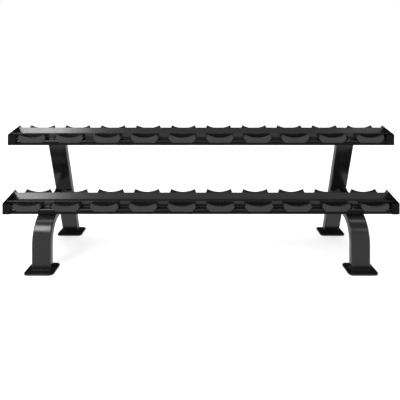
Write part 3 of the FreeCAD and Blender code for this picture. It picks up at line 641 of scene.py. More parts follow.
def middle(node):
    low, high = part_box(node)
    return (Vector(low) + Vector(high)) / 2


def span(node):
    low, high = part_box(node)
    return Vector(high) - Vector(low)


def side_sign(side):
    return -1 if side == "left" else 1


def tier_origin(tier):
    """Front top corner of the tier's end plates, found from a corner bracket."""
    low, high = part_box(f"{tier}_corner_bracket_left")
    return Vector((0.0, low[1], high[2] + BRACKET_MARGIN))


def tier_matrix(tier, x=0.0):
    """From a tier's own frame, x, back along the slope and square to it, to the rack's."""
    here = tier_origin(tier) + Vector((x, 0.0, 0.0))
    return Matrix.Translation(here) @ Matrix.Rotation(tier_sizes().slope, 4, "X")


def inner_half_width():
    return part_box("lower_front_rail")[1][0]


def slope_along():
    return Vector((0.0, cos(tier_sizes().slope), sin(tier_sizes().slope)))


def slope_up():
    return Vector((0.0, -sin(tier_sizes().slope), cos(tier_sizes().slope)))


def post_up():
    return Vector((0.0, -sin(frame_sizes().post_lean), cos(frame_sizes().post_lean)))


def post_back():
    return Vector((0.0, cos(frame_sizes().post_lean), sin(frame_sizes().post_lean)))


def foot_top():
    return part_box("front_foot_plate_left")[1][2]


def post_front_foot(side):
    """Where the rear post's front face meets its foot plate."""
    sizes = frame_sizes()
    node = f"rear_post_{side}"
    _, (_, back, _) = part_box(node)
    return Vector((middle(node).x, back - sizes.tube_depth / cos(sizes.post_lean), foot_top()))


# ---- side frames ----

def tube_ring(centre, across):
    """The tube's outline about a centre; across is the way that its depth points."""
    sizes = frame_sizes()
    outline = rounded_box(span("front_leg_left").x, sizes.tube_depth, sizes.tube_corner)
    return [centre + Vector((point.x, 0.0, 0.0)) + across * point.y for point in outline]


def slid(ring, direction, plane_point, plane_normal):
    """A ring moved along a direction until every point of it lies in a plane."""
    return [point + direction * ((plane_point - point).dot(plane_normal) / direction.dot(plane_normal))
            for point in ring]


def leg_rings(side):
    """Sections of the front leg from its foot, round its bend and back to the post."""
    sizes = frame_sizes()
    half = sizes.tube_depth / 2
    low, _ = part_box(f"front_leg_{side}")
    foot = Vector((middle(f"front_leg_{side}").x, low[1] + half, foot_top()))
    radius = sizes.leg_bend - half
    drop = tier_sizes().drop + sizes.lower_mount + half
    on_arm = tier_origin("lower") - slope_up() * drop
    corner_z = on_arm.z + (foot.y - on_arm.y) * tan(tier_sizes().slope)
    tangent = radius * tan((pi / 2 - tier_sizes().slope) / 2)
    centre = Vector((foot.x, foot.y + radius, corner_z - tangent))
    forward = Vector((0.0, -1.0, 0.0))
    rings = [tube_ring(foot, forward)]
    for step in range(sizes.bend_steps + 1):
        turn = (pi / 2 - tier_sizes().slope) * step / sizes.bend_steps
        outward = Vector((0.0, -cos(turn), sin(turn)))
        rings.append(tube_ring(centre + outward * radius, outward))
    rings.append(slid(rings[-1], slope_along(), post_front_foot(side), post_back()))
    return rings


def post_rings(side):
    """The rear post's section at its foot and where it meets the upper mounting plate."""
    sizes = frame_sizes()
    foot = post_front_foot(side)
    section = tube_ring(foot + post_back() * (sizes.tube_depth / 2), -post_back())
    under_plate = tier_origin("upper") - slope_up() * (tier_sizes().drop + sizes.upper_mount)
    return [slid(section, post_up(), foot, Vector((0.0, 0.0, 1.0))),
            slid(section, post_up(), under_plate, slope_up())]


def add_front_legs():
    for side in SIDES:
        mesh = lofted("front_leg", leg_rings(side))
        add_piece(f"bent_front_leg_{side}", mesh, paint(), [f"front_leg_{side}"])


def add_rear_posts():
    for side in SIDES:
        mesh = lofted("rear_post", post_rings(side))
        add_piece(f"leaning_rear_post_{side}", mesh, paint(), [f"rear_post_{side}"])


def add_foot_plates():
    sizes = frame_sizes()
    for row in ROWS:
        for side in SIDES:
            node = f"{row}_foot_plate_{side}"
            size, centre = span(node), middle(node)
            outline = rounded_box(size.x, size.y, sizes.foot_corner)
            across, along = sizes.foot_hole_across / 2, sizes.foot_hole_along / 2
            holes = [circle(sizes.foot_hole / 2, TURNED_STEPS, (sx * across, sy * along))
                     for sx in (-1, 1) for sy in (-1, 1)]
            mesh = flat_plate(node, outline, holes, size.z, sizes.foot_edge)
            add_piece(f"drilled_{node}", mesh, paint(), [node],
                      Matrix.Translation((centre.x, centre.y, 0.0)))


def paint_cross_ties():
    """The cross ties keep their CAD shape and get the frame's paint."""
    for tier in TIERS:
        for side in SIDES:
            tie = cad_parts[f"{tier}_cross_tie_{side}"]
            tie.data.materials.clear()
            tie.data.materials.append(paint())


def add_mount_plates():
    sizes = frame_sizes()
    plates = {"lower": (sizes.lower_mount, sizes.lower_mount_start, sizes.lower_mount_length),
              "upper": (sizes.upper_mount, sizes.upper_mount_start, sizes.upper_mount_length)}
    for tier, (thickness, start, run) in plates.items():
        for side in SIDES:
            node = f"{tier}_mount_plate_{side}"
            outline = rounded_box(span(node).x, run, sizes.mount_corner, (0.0, start + run / 2))
            mesh = flat_plate(node, outline, (), thickness, sizes.mount_edge)
            under = Matrix.Translation((0.0, 0.0, -tier_sizes().drop - thickness))
            add_piece(f"welded_{node}", mesh, paint(), [node],
                      tier_matrix(tier, middle(node).x) @ under)


# ---- tiers ----

def rail_outline(row):
    """Outline of a rail across the tier: turned-down edge, shelf, web and hem."""
    sizes = tier_sizes()
    inwards = 1 if row == "front" else -1
    edge, web, web_drop, shelf, lean, splay = (
        getattr(sizes, f"{row}_{part}") for part in ("edge", "web", "web_drop", "shelf", "web_lean", "splay"))
    sheet, inner = sizes.sheet, sizes.bend
    outer = inner + sheet
    slant = lean / (shelf - web_drop)
    wall = sheet * sqrt(1 + slant ** 2)
    inner_edge = edge + inwards * sheet
    hem_foot = -web_drop - sizes.hem_height
    hem_fall = slant * sizes.hem_height

    def into(depth):
        return web + inwards * depth

    return rounded([
        (edge - inwards * splay, -sizes.drop, sizes.cut_edge), (edge, -shelf, outer),
        (into(lean), -shelf, inner),
        (web, -web_drop, sizes.hem_round), (into(sizes.hem_depth), -web_drop, sizes.hem_round),
        (into(sizes.hem_depth + hem_fall), hem_foot, sizes.cut_edge), (into(wall + hem_fall), hem_foot, 0.0),
        (into(wall + lean * (1 + sheet / (shelf - web_drop))), -shelf - sheet, outer),
        (inner_edge, -shelf - sheet, inner), (inner_edge - inwards * splay, -sizes.drop, sizes.cut_edge)])


def pan_outline():
    """Outline of the pan across the tier: floor and upturned front side."""
    sizes = tier_sizes()
    front = sizes.front_web + sizes.sheet
    floor, under = -sizes.front_shelf, -sizes.front_shelf - sizes.sheet
    top = floor + sizes.pan_side
    return rounded([
        (front, under, sizes.bend + sizes.sheet), (sizes.pan_end, under, 0.0), (sizes.pan_end, floor, 0.0),
        (front + sizes.sheet, floor, sizes.bend), (front + sizes.sheet, top, sizes.cut_edge),
        (front, top, 0.0)])


def shade_strip_outline():
    """Outline of the near-black strip, painted shade, on the front rail's turned-down edge."""
    sizes = tier_sizes()
    top, bottom = -sizes.front_shelf - sizes.bend - sizes.sheet, -sizes.drop - sizes.shade_strip_lip
    slant = sizes.front_splay / (sizes.drop - sizes.front_shelf)
    foot = sizes.front_edge + (bottom + sizes.front_shelf) * slant
    shelf_end = sizes.front_edge + (top + sizes.front_shelf) * slant
    return rounded([
        (foot - sizes.trim, bottom, sizes.shade_strip_edge), (shelf_end - sizes.trim, top, sizes.shade_strip_edge),
        (shelf_end, top, 0.0), (foot, bottom, 0.0)])


def add_folded_sheet(tier, node, outline, name):
    half = inner_half_width()
    mesh = lofted(node, along_x(outline, -half, half))
    add_piece(name, mesh, paint(), [node], tier_matrix(tier))


def add_painted_shade_strip(tier):
    half = inner_half_width()
    # Painted shade: a near-black matt strip over the front rail's turned-down edge.
    mesh = lofted("edge_trim", along_x(shade_strip_outline(), -half, half))
    add_piece(f"edge_trim_{tier}", mesh, painted_shade_black(), matrix=tier_matrix(tier))


def add_rails():
    for tier in TIERS:
        for row in ROWS:
            add_folded_sheet(tier, f"{tier}_{row}_rail", rail_outline(row), f"folded_{tier}_{row}_rail")
        add_folded_sheet(tier, f"{tier}_pan", pan_outline(), f"folded_{tier}_pan")
        add_painted_shade_strip(tier)


def add_end_plates():
    """End plates and the brackets that close a tier's front corners."""
    sizes = tier_sizes()
    slope = sizes.slope
    depth = span("lower_end_plate_left").y
    thickness = span("lower_end_plate_left").x
    corner = sizes.plate_corner
    outline = rounded([
        (0.0, 0.0, corner), (0.0, -sizes.plate_height, corner),
        (depth, depth * tan(slope) - sizes.plate_height, corner), (depth, sizes.plate_back, corner),
        (sizes.plate_top * cos(slope), sizes.plate_top * sin(slope), corner)])
    # Turns a plate drawn flat so that its outline runs front to back and up.
    stand = Matrix(((0, 0, 1, 0), (1, 0, 0, 0), (0, 1, 0, 0), (0, 0, 0, 1)))
    for tier in TIERS:
        for side in SIDES:
            node = f"{tier}_end_plate_{side}"
            start = Vector((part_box(node)[0][0], *tier_origin(tier).yz))
            mesh = flat_plate(node, outline, (), thickness, sizes.plate_edge)
            add_piece(f"cut_{node}", mesh, paint(), [node], Matrix.Translation(start) @ stand)
            add_bracket(tier, side)


def add_bracket(tier, side):
    sizes = tier_sizes()
    node = f"{tier}_corner_bracket_{side}"
    (low_x, low_y, low_z), (high_x, _, high_z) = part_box(node)
    end, tip = (low_x, high_x) if side == "left" else (high_x, low_x)
    inner = end - side_sign(side) * sizes.sheet
    outline = rounded([
        (tip, low_y, sizes.bracket_edge), (end, low_y, sizes.bend),
        (end, low_y + sizes.bracket_return, sizes.cut_edge),
        (inner, low_y + sizes.bracket_return, sizes.cut_edge), (inner, low_y + sizes.sheet, sizes.bend),
        (tip, low_y + sizes.sheet, sizes.bracket_edge)])
    mesh = lofted(node, [at_height(outline, low_z), at_height(outline, high_z)])
    # Painted shade: the folded bracket gets the near-black matt finish instead of the gloss paint, darkening
    # it as its shade would.
    add_piece(f"folded_{node}", mesh, painted_shade_black(), [node])


# ---- saddles ----

def saddle_ring(depth, bottom, inset=0.0):
    """Outline of a saddle at a depth from its outer face, drawn in by an inset."""
    sizes = saddle_sizes()
    past_rim = max(0.0, depth - sizes.rim)
    fall = (sizes.rise - sizes.back_rise) * past_rim / (sizes.depth - sizes.rim)
    tip = sizes.rise - fall - inset
    step = sizes.rim_step * min(1.0, past_rim / sizes.rim_step)
    lowest = sizes.cradle_rise - depth * tan(sizes.cradle_tilt) - step - inset
    lean = (sizes.width - sizes.top) / 2 / (sizes.rise - sizes.shoulder)
    undercut = (sizes.width - sizes.foot) / 2 / (sizes.shoulder + sizes.skirt)
    half_tip = sizes.width / 2 - (tip - sizes.shoulder) * lean - inset
    half_foot = sizes.width / 2 - (sizes.shoulder - bottom) * undercut - inset
    centre = lowest + sizes.cradle_radius
    # The tips keep enough of a flat for their rounding.
    tip_flat = 2.2 * sizes.tip
    half_cradle = min(sqrt(sizes.cradle_radius ** 2 - (centre - tip) ** 2), half_tip - tip_flat)
    swing = atan2(half_cradle, centre - tip)
    turns = [swing * (2 * step / CRADLE_STEPS - 1) for step in range(CRADLE_STEPS + 1)]
    hollow = [(sizes.cradle_radius * sin(turn), centre - sizes.cradle_radius * cos(turn), 0.0)
              for turn in turns]
    half_width = sizes.width / 2 - inset
    right = [(half_foot, bottom + inset, sizes.corner), (half_width, sizes.shoulder, sizes.corner),
             (half_tip, tip, sizes.tip)]
    left = [(-x, z, radius) for x, z, radius in reversed(right)]
    corners = right + list(reversed(hollow)) + left
    return [Vector((point.x, depth, point.y)) for point in rounded(corners)]


def saddle_rings():
    """Rings of a saddle from its rounded outer face to the face against the web."""
    sizes = saddle_sizes()
    rings = []
    for step in range(EDGE_STEPS + 1):
        turn = pi / 2 * step / EDGE_STEPS
        rings.append(saddle_ring(sizes.edge * (1 - sin(turn)), -sizes.skirt, sizes.edge * (1 - cos(turn))))
    rings.reverse()
    rings.append(saddle_ring(sizes.lap, -sizes.skirt))
    rings.append(saddle_ring(sizes.lap, 0.0))
    rim_end = sizes.rim + sizes.rim_step
    for depth in (sizes.rim, (sizes.rim + rim_end) / 2, rim_end, sizes.depth / 2):
        rings.append(saddle_ring(depth, 0.0))
    for step in range(EDGE_STEPS + 1):
        turn = pi / 2 * step / EDGE_STEPS
        depth = sizes.depth - sizes.edge * (1 - sin(turn))
        rings.append(saddle_ring(depth, 0.0, sizes.edge * (1 - cos(turn))))
    return rings


def saddle_mesh():
    """One saddle with the round recess that its bolt's head sits in."""
    sizes = saddle_sizes()
    mesh = lofted("saddle", saddle_rings())
    recess = lofted("recess", [
        at_height(circle(sizes.recess / 2, RECESS_STEPS, (0.0, sizes.bolt_inset)), height)
        for height in (sizes.bolt_seat, 2 * sizes.rise)])
    blank = bpy.data.objects.new("saddle", mesh)
    cutter = bpy.data.objects.new("recess", recess)
    for made in (blank, cutter):
        bpy.context.scene.collection.objects.link(made)
    cut = blank.modifiers.new("recess", "BOOLEAN")
    cut.object = cutter
    cut.operation = "DIFFERENCE"
    cut.solver = "EXACT"
    bpy.context.view_layer.update()
    result = bpy.data.meshes.new_from_object(blank.evaluated_get(bpy.context.evaluated_depsgraph_get()))
    for made in (blank, cutter):
        bpy.data.objects.remove(made)
    return smooth_again(result)


def saddle_placements():
    """Where the front and the rear saddle of a dumbbell stand in the tier's frame."""
    tier, saddle = tier_sizes(), saddle_sizes()
    front = Matrix.Translation((0.0, tier.front_edge - saddle.lap, -tier.front_shelf))
    rear = Matrix.Translation((0.0, tier.rear_edge + saddle.lap, -tier.rear_shelf))
    return front, rear @ Matrix.Rotation(pi, 4, "Z")


def saddle_x(index):
    sizes = saddle_sizes()
    return (index - (sizes.count - 1) / 2) * sizes.pitch


def add_saddles():
    master = saddle_mesh()
    for tier in TIERS:
        for index in range(saddle_sizes().count):
            name = f"{tier}_saddle_pair_{index + 1:02d}"
            mesh = joined(name, [(master, matrix) for matrix in saddle_placements()])
            add_piece(f"moulded_{name}", mesh, plastic(), [name],
                      tier_matrix(tier, saddle_x(index)))


# ---- fasteners ----

def turned(*sections):
    """Rings up a turned part, each from the function that draws it, its size and its height."""
    return [at_height(draw(reach, TURNED_STEPS), height) for draw, reach, height in sections]


def threads(end, top):
    """Rings of a threaded shank from its chamfered end, at a depth under its shelf, up to its top."""
    sizes = fastener_sizes()
    radius, pitch, depth = sizes.shank, sizes.thread_pitch, sizes.thread_depth
    chamfer = 1.2 * depth
    first_crest, crest_to_root = 0.6 * pitch, pitch / 2
    rings = turned((circle, radius - chamfer, -end))
    for turn in range(ceil((end - top - pitch) / pitch)):
        crest = -end + pitch * turn + first_crest
        rings += turned((circle, radius, crest), (circle, radius - depth, crest + crest_to_root))
    return rings + turned((circle, radius, -top))


def cap_screw_rings():
    """Saddle bolt over its shelf: threaded shank, round head and hexagon socket."""
    sizes = fastener_sizes()
    seat = saddle_sizes().bolt_seat
    top = seat + sizes.cap_height
    return threads(sizes.cap_end, sizes.cap_thread_top) + turned(
        (circle, sizes.shank, seat),
        (circle, sizes.cap_radius, seat),
        (circle, sizes.cap_radius, top - sizes.cap_chamfer),
        (circle, sizes.cap_radius - sizes.cap_chamfer, top),
        (hexagon, sizes.socket, top),
        (hexagon, sizes.socket, top - sizes.socket_depth))


def flange_nut_rings():
    """Nut under its shelf, from its lower face up to the round flange."""
    sizes = fastener_sizes()
    under = -tier_sizes().sheet
    flange = under - sizes.flange_height
    bottom = flange - sizes.nut_height
    root, rim = flange - 0.2 * MM, flange + 0.3 * MM
    rim_round = 0.3 * MM
    return turned(
        (circle, sizes.nut_bore, bottom),
        (circle, sizes.crown, bottom),
        (hexagon, sizes.hexagon, bottom + sizes.nut_chamfer),
        (hexagon, sizes.hexagon, flange),
        (circle, sizes.flange - rim_round, root),
        (circle, sizes.flange, rim),
        (circle, sizes.flange, under),
        (circle, sizes.nut_bore, under))


def flange_bolt_rings():
    """Flanged hexagon bolt with its collar on the shelf."""
    sizes = fastener_sizes()
    collar = sizes.flange_height
    top = collar + sizes.bolt_head
    rim_round = 0.6 * MM
    return threads(sizes.bolt_end, sizes.bolt_thread_top) + turned(
        (circle, sizes.shank, 0.0),
        (circle, sizes.flange, 0.0),
        (circle, sizes.flange, collar - rim_round),
        (circle, sizes.flange - rim_round, collar),
        (hexagon, sizes.hexagon, collar),
        (hexagon, sizes.hexagon, top - sizes.bolt_chamfer),
        (circle, sizes.crown, top))


def new_tree(name, inputs):
    """A geometry node group with named inputs and one geometry output."""
    tree = bpy.data.node_groups.new(name, "GeometryNodeTree")
    for label, kind in inputs:
        tree.interface.new_socket(label, in_out="INPUT", socket_type=kind)
    tree.interface.new_socket("Geometry", in_out="OUTPUT", socket_type="NodeSocketGeometry")
    return tree


def tree_node(tree, kind, settings, links):
    """A geometry node: its settings, then its inputs, each a value or another node's output."""
    made = tree.nodes.new(kind)
    for setting, chosen in settings.items():
        setattr(made, setting, chosen)
    for key, given in links.items():
        if isinstance(given, bpy.types.NodeSocket):
            tree.links.new(given, made.inputs[key])
        else:
            made.inputs[key].default_value = given
    return made


def close_tree(tree, geometry, given):
    """Realize what was placed, give it its finish and send it out."""
    real = tree_node(tree, "GeometryNodeRealizeInstances", {}, {"Geometry": geometry})
    painted = tree_node(tree, "GeometryNodeSetMaterial", {},
                        {"Geometry": real.outputs["Geometry"], "Material": given.outputs["Finish"]})
    tree_node(tree, "NodeGroupOutput", {}, {"Geometry": painted.outputs["Geometry"]})


def fastener_row_tree():
    """Copies of one fastener along a line."""
    tree = new_tree("fastener_row", (
        ("Fastener", "NodeSocketObject"), ("Count", "NodeSocketInt"), ("Pitch", "NodeSocketFloat"),
        ("First", "NodeSocketVector"), ("Finish", "NodeSocketMaterial")))
    given = tree_node(tree, "NodeGroupInput", {}, {})
    step = tree_node(tree, "ShaderNodeCombineXYZ", {}, {"X": given.outputs["Pitch"]})
    line = tree_node(tree, "GeometryNodeMeshLine", {"mode": "OFFSET"}, {
        "Count": given.outputs["Count"], "Start Location": given.outputs["First"],
        "Offset": step.outputs["Vector"]})
    master = tree_node(tree, "GeometryNodeObjectInfo", {}, {"Object": given.outputs["Fastener"]})
    placed = tree_node(tree, "GeometryNodeInstanceOnPoints", {}, {
        "Points": line.outputs["Mesh"], "Instance": master.outputs["Geometry"]})
    close_tree(tree, placed.outputs["Instances"], given)
    return tree


def weld_tree():
    """A ripple of flattened beads along a closed path."""
    tree = new_tree("weld_ripples", (
        ("Path", "NodeSocketObject"), ("Spacing", "NodeSocketFloat"), ("Bead", "NodeSocketFloat"),
        ("Seed", "NodeSocketInt"), ("Finish", "NodeSocketMaterial")))
    given = tree_node(tree, "NodeGroupInput", {}, {})
    path = tree_node(tree, "GeometryNodeObjectInfo", {}, {"Object": given.outputs["Path"]})
    curve = tree_node(tree, "GeometryNodeMeshToCurve", {}, {"Mesh": path.outputs["Geometry"]})
    even = tree_node(tree, "GeometryNodeResampleCurve", {"mode": "LENGTH"},
                     {"Curve": curve.outputs["Curve"], "Length": given.outputs["Spacing"]})
    # Each ripple is flattened along the weld, and a little uneven across it.
    flattened, least, most = 0.62, 0.86, 1.1
    tangent = tree_node(tree, "GeometryNodeInputTangent", {}, {})
    turned = tree_node(tree, "FunctionNodeAlignRotationToVector", {"axis": "X"},
                       {"Vector": tangent.outputs["Tangent"]})
    ball = tree_node(tree, "GeometryNodeMeshUVSphere", {},
                     {"Segments": 10, "Rings": 6, "Radius": given.outputs["Bead"]})
    uneven = tree_node(tree, "FunctionNodeRandomValue", {"data_type": "FLOAT"},
                       {"Min": least, "Max": most, "Seed": given.outputs["Seed"]})
    value_output = 1
    flat = tree_node(tree, "ShaderNodeCombineXYZ", {}, {
        "X": flattened, "Y": uneven.outputs[value_output], "Z": uneven.outputs[value_output]})
    placed = tree_node(tree, "GeometryNodeInstanceOnPoints", {}, {
        "Points": even.outputs["Curve"], "Instance": ball.outputs["Mesh"],
        "Rotation": turned.outputs["Rotation"], "Scale": flat.outputs["Vector"]})
    close_tree(tree, placed.outputs["Instances"], given)
    return tree


def grown(tree, inputs):
    """The plain mesh that a tree makes with these inputs, in the rack's frame."""
    host = bpy.data.objects.new("host", bpy.data.meshes.new("host"))
    bpy.context.scene.collection.objects.link(host)
    modifier = host.modifiers.new("made", "NODES")
    modifier.node_group = tree
    for item in tree.interface.items_tree:
        if item.in_out == "INPUT":
            modifier[item.identifier] = inputs[item.name]
    bpy.context.view_layer.update()
    mesh = bpy.data.meshes.new_from_object(host.evaluated_get(bpy.context.evaluated_depsgraph_get()))
    host.modifiers.remove(modifier)
    bpy.data.objects.remove(host)
    if not mesh.polygons:
        raise RuntimeError(f"{tree.name} made nothing")
    return mesh


def hidden_object(name, mesh):
    """An object for a tree to read, which is removed when the tree has run."""
    made = bpy.data.objects.new(name, mesh)
    bpy.context.scene.collection.objects.link(made)
    return made


def fastener_rows(tree, rings, rows):
    """Meshes of rows of one fastener; a row is its count, its pitch and its first place."""
    master = hidden_object("fastener", lofted("fastener", rings))
    meshes = [(grown(tree, {"Fastener": master, "Count": count, "Pitch": pitch, "First": first,
                            "Finish": steel()}), Matrix.Identity(4)) for count, pitch, first in rows]
    bpy.data.objects.remove(master)
    return meshes


def add_fasteners():
    tree = fastener_row_tree()
    tier, saddle, bolts = tier_sizes(), saddle_sizes(), fastener_sizes()
    front_u = tier.front_edge - saddle.lap + saddle.bolt_inset
    rear_u = tier.rear_edge + saddle.lap - saddle.bolt_inset
    saddle_rows = [(saddle.count, saddle.pitch, (saddle_x(0), u, -shelf))
                   for u, shelf in ((front_u, tier.front_shelf), (rear_u, tier.rear_shelf))]
    tier_rows = [(len(SIDES), 2 * bolts.tier_bolt_x, (-bolts.tier_bolt_x, u, -tier.front_shelf))
                 for u in (bolts.tier_bolt_front, bolts.tier_bolt_rear)]
    kinds = (("saddle_bolts", cap_screw_rings(), saddle_rows),
             ("saddle_nuts", flange_nut_rings(), saddle_rows),
             ("tier_bolts", flange_bolt_rings(), tier_rows))
    for kind, rings, rows in kinds:
        for level in TIERS:
            node = f"{level}_{kind}"
            mesh = joined(node, fastener_rows(tree, rings, rows))
            add_piece(f"turned_{node}", mesh, steel(), [node], tier_matrix(level), weighted=False)


# ---- welds and plugs ----

def ring_path(ring, grow):
    """A closed line of edges just outside a ring of points."""
    centre = sum(ring, Vector()) / len(ring)
    points = [point + (point - centre).normalized() * grow for point in ring]
    mesh = bpy.data.meshes.new("weld_path")
    edges = [(index, (index + 1) % len(points)) for index in range(len(points))]
    mesh.from_pydata([tuple(point) for point in points], edges, [])
    return mesh


def add_welds():
    """Painted weld beads where tubes stand on plates and where the arm meets the post."""
    tree = weld_tree()
    sizes = frame_sizes()
    seeds_per_side = 10
    for number, side in enumerate(SIDES):
        legs, posts = leg_rings(side), post_rings(side)
        beads = []
        for seed, ring in enumerate((legs[0], legs[-1], *posts)):
            path = hidden_object("weld_path", ring_path(ring, sizes.weld_offset))
            bead = grown(tree, {"Path": path, "Spacing": sizes.weld_spacing, "Bead": sizes.weld_bead,
                                "Seed": seeds_per_side * number + seed, "Finish": paint()})
            beads.append((bead, Matrix.Identity(4)))
            bpy.data.objects.remove(path)
        add_piece(f"weld_beads_{side}", joined("weld_beads", beads), paint(), weighted=False)


def add_painted_reflection_spots():
    """Round plug in each post's front face, just under the upper mounting plate: a dark piece standing in for
    a painted reflection of a bolt's end in the gloss paint.
    """
    sizes = frame_sizes()
    for side in SIDES:
        foot = post_front_foot(side)
        up = (sizes.reflection_spot_height - foot.z) / post_up().z
        place = foot + post_up() * up + Vector((side_sign(side) * sizes.reflection_spot_offset, 0.0, 0.0))
        outward = -post_back()
        rings = turned(*((circle, sizes.reflection_spot_radius * share, height) for share, height in REFLECTION_SPOT_PROFILE))
        mesh = lofted("post_plug", rings)
        matrix = Matrix.Translation(place) @ outward.to_track_quat("Z", "X").to_matrix().to_4x4()
        add_piece(f"post_plug_{side}", mesh, plastic(), matrix=matrix)


# ---- stage ----

def add_floor():
    mesh = bpy.data.meshes.new("studio_floor")
    corners = [(sx * FLOOR_REACH, sy * FLOOR_REACH, 0.0) for sx, sy in ((-1, -1), (1, -1), (1, 1), (-1, 1))]
    mesh.from_pydata(corners, [], [tuple(range(len(corners)))])
    material, shader = new_material("studio_floor")
    close_material(shader, shader.node("ShaderNodeBsdfPrincipled", {},
                                       Base_Color=opaque(colours().floor), Roughness=0.9))
    mesh.materials.append(material)
    floor = bpy.data.objects.new("studio_floor", mesh)
    bpy.context.scene.collection.objects.link(floor)
    floor.visible_glossy = False
    return floor


def add_soft_light(name, place, target, width, height, power):
    lamp = bpy.data.lights.new(name, "AREA")
    lamp.shape = "RECTANGLE"
    lamp.size = width
    lamp.size_y = height
    lamp.energy = power
    light = bpy.data.objects.new(name, lamp)
    light.location = place
    light.rotation_euler = (Vector(target) - Vector(place)).to_track_quat("-Z", "Y").to_euler()
    bpy.context.scene.collection.objects.link(light)
    return light


def light_only(light, pieces):
    """Let a light fall on some pieces alone."""
    lit = bpy.data.collections.new(f"lit_by_{light.name}")
    for piece in pieces:
        lit.objects.link(piece)
    light.light_linking.receiver_collection = lit


def add_floor_light(floor):
    """Wide light from straight above that falls on the floor alone, to keep it white."""
    lamp = bpy.data.lights.new("floor_light", "SUN")
    lamp.energy = FLOOR_LIGHT_POWER
    lamp.angle = FLOOR_LIGHT_SPREAD
    lamp.use_shadow = False
    light = bpy.data.objects.new("floor_light", lamp)
    bpy.context.scene.collection.objects.link(light)
    light_only(light, [floor])


def add_world():
    """White all round for the camera; otherwise bright in front and below, dim overhead, dark behind."""
    world = bpy.data.worlds.new("studio")
    bpy.context.scene.world = world
    shader = Shader(world)
    direction = shader.node("ShaderNodeTexCoord", {}).out("Generated")
    parts = shader.node("ShaderNodeSeparateXYZ", {}, direction)
    backwards, upwards = parts.out("Y") * 0.5 + 0.5, parts.out("Z") * 0.5 + 0.5
    front = shader.ramp(backwards, *ROOM_BACKWARDS)
    below = shader.ramp(upwards, *ROOM_UPWARDS_BELOW)
    height = shader.ramp(upwards, *ROOM_UPWARDS)
    seen = shader.node("ShaderNodeLightPath", {}).out("Is Camera Ray")
    brightness = shader.blend(seen, front.maths("MAXIMUM", front, below) * height, WHITE)
    background = shader.node("ShaderNodeBackground", {}, Color=brightness, Strength=1.0)
    shader.node("ShaderNodeOutputWorld", {}, Surface=background.out())


def add_camera():
    camera = bpy.data.cameras.new("camera")
    camera.sensor_width = CAMERA_SENSOR
    camera.lens = CAMERA_LENS
    camera.shift_x, camera.shift_y = CAMERA_SHIFT
    holder = bpy.data.objects.new("camera", camera)
    holder.location = CAMERA_PLACE
    holder.rotation_euler = (pi / 2, 0.0, 0.0)
    bpy.context.scene.collection.objects.link(holder)
    bpy.context.scene.camera = holder


def add_stage():
    bpy.context.scene.view_settings.view_transform = "Standard"
    add_floor_light(add_floor())
    add_world()
    for settings in SOFT_LIGHTS:
        add_soft_light(*settings)
    web_light = add_soft_light(*RAIL_LIGHT)
    light_only(web_light, [bpy.data.objects[f"folded_{tier}_{row}_rail"] for tier in TIERS for row in ROWS])
    add_camera()


# ---- add-on ----

class RACK_OT_stage(bpy.types.Operator):
    """Add the floor, the lights and the camera"""
    bl_idname = "rack.stage"
    bl_label = "Stage"
    bl_options = {"REGISTER", "UNDO"}

    def execute(self, context):
        add_stage()
        return {"FINISHED"}


class RACK_OT_front_legs(bpy.types.Operator):
    """Add the bent front legs"""
    bl_idname = "rack.front_legs"
    bl_label = "Front legs"
    bl_options = {"REGISTER", "UNDO"}

    def execute(self, context):
        add_front_legs()
        return {"FINISHED"}


class RACK_OT_rear_posts(bpy.types.Operator):
    """Add the leaning rear posts"""
    bl_idname = "rack.rear_posts"
    bl_label = "Rear posts"
    bl_options = {"REGISTER", "UNDO"}

    def execute(self, context):
        add_rear_posts()
        return {"FINISHED"}


class RACK_OT_foot_plates(bpy.types.Operator):
    """Add the drilled foot plates"""
    bl_idname = "rack.foot_plates"
    bl_label = "Foot plates"
    bl_options = {"REGISTER", "UNDO"}

    def execute(self, context):
        add_foot_plates()
        return {"FINISHED"}


class RACK_OT_mount_plates(bpy.types.Operator):
    """Add the plates between the frames and the tiers, and paint the cross ties"""
    bl_idname = "rack.mount_plates"
    bl_label = "Mounting plates"
    bl_options = {"REGISTER", "UNDO"}

    def execute(self, context):
        add_mount_plates()
        paint_cross_ties()
        return {"FINISHED"}


class RACK_OT_rails(bpy.types.Operator):
    """Add the folded rails, the pans and the near-black painted-shade strips on the front edges"""
    bl_idname = "rack.rails"
    bl_label = "Rails and pans"
    bl_options = {"REGISTER", "UNDO"}

    def execute(self, context):
        add_rails()
        return {"FINISHED"}


class RACK_OT_end_plates(bpy.types.Operator):
    """Add the end plates and the corner brackets"""
    bl_idname = "rack.end_plates"
    bl_label = "End plates"
    bl_options = {"REGISTER", "UNDO"}

    def execute(self, context):
        add_end_plates()
        return {"FINISHED"}


class RACK_OT_saddles(bpy.types.Operator):
    """Add the moulded saddles"""
    bl_idname = "rack.saddles"
    bl_label = "Saddles"
    bl_options = {"REGISTER", "UNDO"}

    def execute(self, context):
        add_saddles()
        return {"FINISHED"}


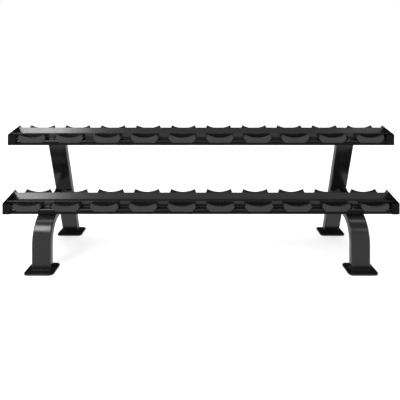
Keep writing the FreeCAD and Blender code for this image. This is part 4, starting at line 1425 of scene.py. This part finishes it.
class RACK_OT_fasteners(bpy.types.Operator):
    """Add the bolts and the nuts"""
    bl_idname = "rack.fasteners"
    bl_label = "Bolts and nuts"
    bl_options = {"REGISTER", "UNDO"}

    def execute(self, context):
        add_fasteners()
        return {"FINISHED"}


class RACK_OT_welds(bpy.types.Operator):
    """Add the painted weld beads"""
    bl_idname = "rack.welds"
    bl_label = "Welds"
    bl_options = {"REGISTER", "UNDO"}

    def execute(self, context):
        add_welds()
        return {"FINISHED"}


class RACK_OT_painted_reflection_spots(bpy.types.Operator):
    """Add the plugs in the rear posts, dark pieces that stand in for a painted reflection"""
    bl_idname = "rack.post_plugs"
    bl_label = "Post plugs"
    bl_options = {"REGISTER", "UNDO"}

    def execute(self, context):
        add_painted_reflection_spots()
        return {"FINISHED"}


# The stage comes last, because one of its lights is for the rails alone.
OPERATORS = (
    RACK_OT_front_legs, RACK_OT_rear_posts, RACK_OT_foot_plates, RACK_OT_mount_plates,
    RACK_OT_rails, RACK_OT_end_plates, RACK_OT_saddles, RACK_OT_fasteners,
    RACK_OT_welds, RACK_OT_painted_reflection_spots, RACK_OT_stage,
)


class RACK_PT_pieces(bpy.types.Panel):
    """The rack's pieces, in the order that they are built."""
    bl_label = "Dumbbell rack"
    bl_idname = "RACK_PT_pieces"
    bl_space_type = "VIEW_3D"
    bl_region_type = "UI"
    bl_category = "Rack"

    def draw(self, context):
        for made in OPERATORS:
            self.layout.operator(made.bl_idname)


GROUPS = {"rack_frame": FrameSizes, "rack_tier": TierSizes, "rack_saddle": SaddleSizes,
          "rack_fasteners": FastenerSizes, "rack_colours": FinishColours}


def register():
    for made in (*GROUPS.values(), *OPERATORS, RACK_PT_pieces):
        bpy.utils.register_class(made)
    for name, group in GROUPS.items():
        setattr(bpy.types.Scene, name, PointerProperty(type=group))


def unregister():
    for name in GROUPS:
        delattr(bpy.types.Scene, name)
    for made in reversed((*GROUPS.values(), *OPERATORS, RACK_PT_pieces)):
        bpy.utils.unregister_class(made)


def main():
    register()
    for made in OPERATORS:
        _, name = made.bl_idname.split(".")
        getattr(bpy.ops.rack, name)()


if __name__ == "__main__":
    main()
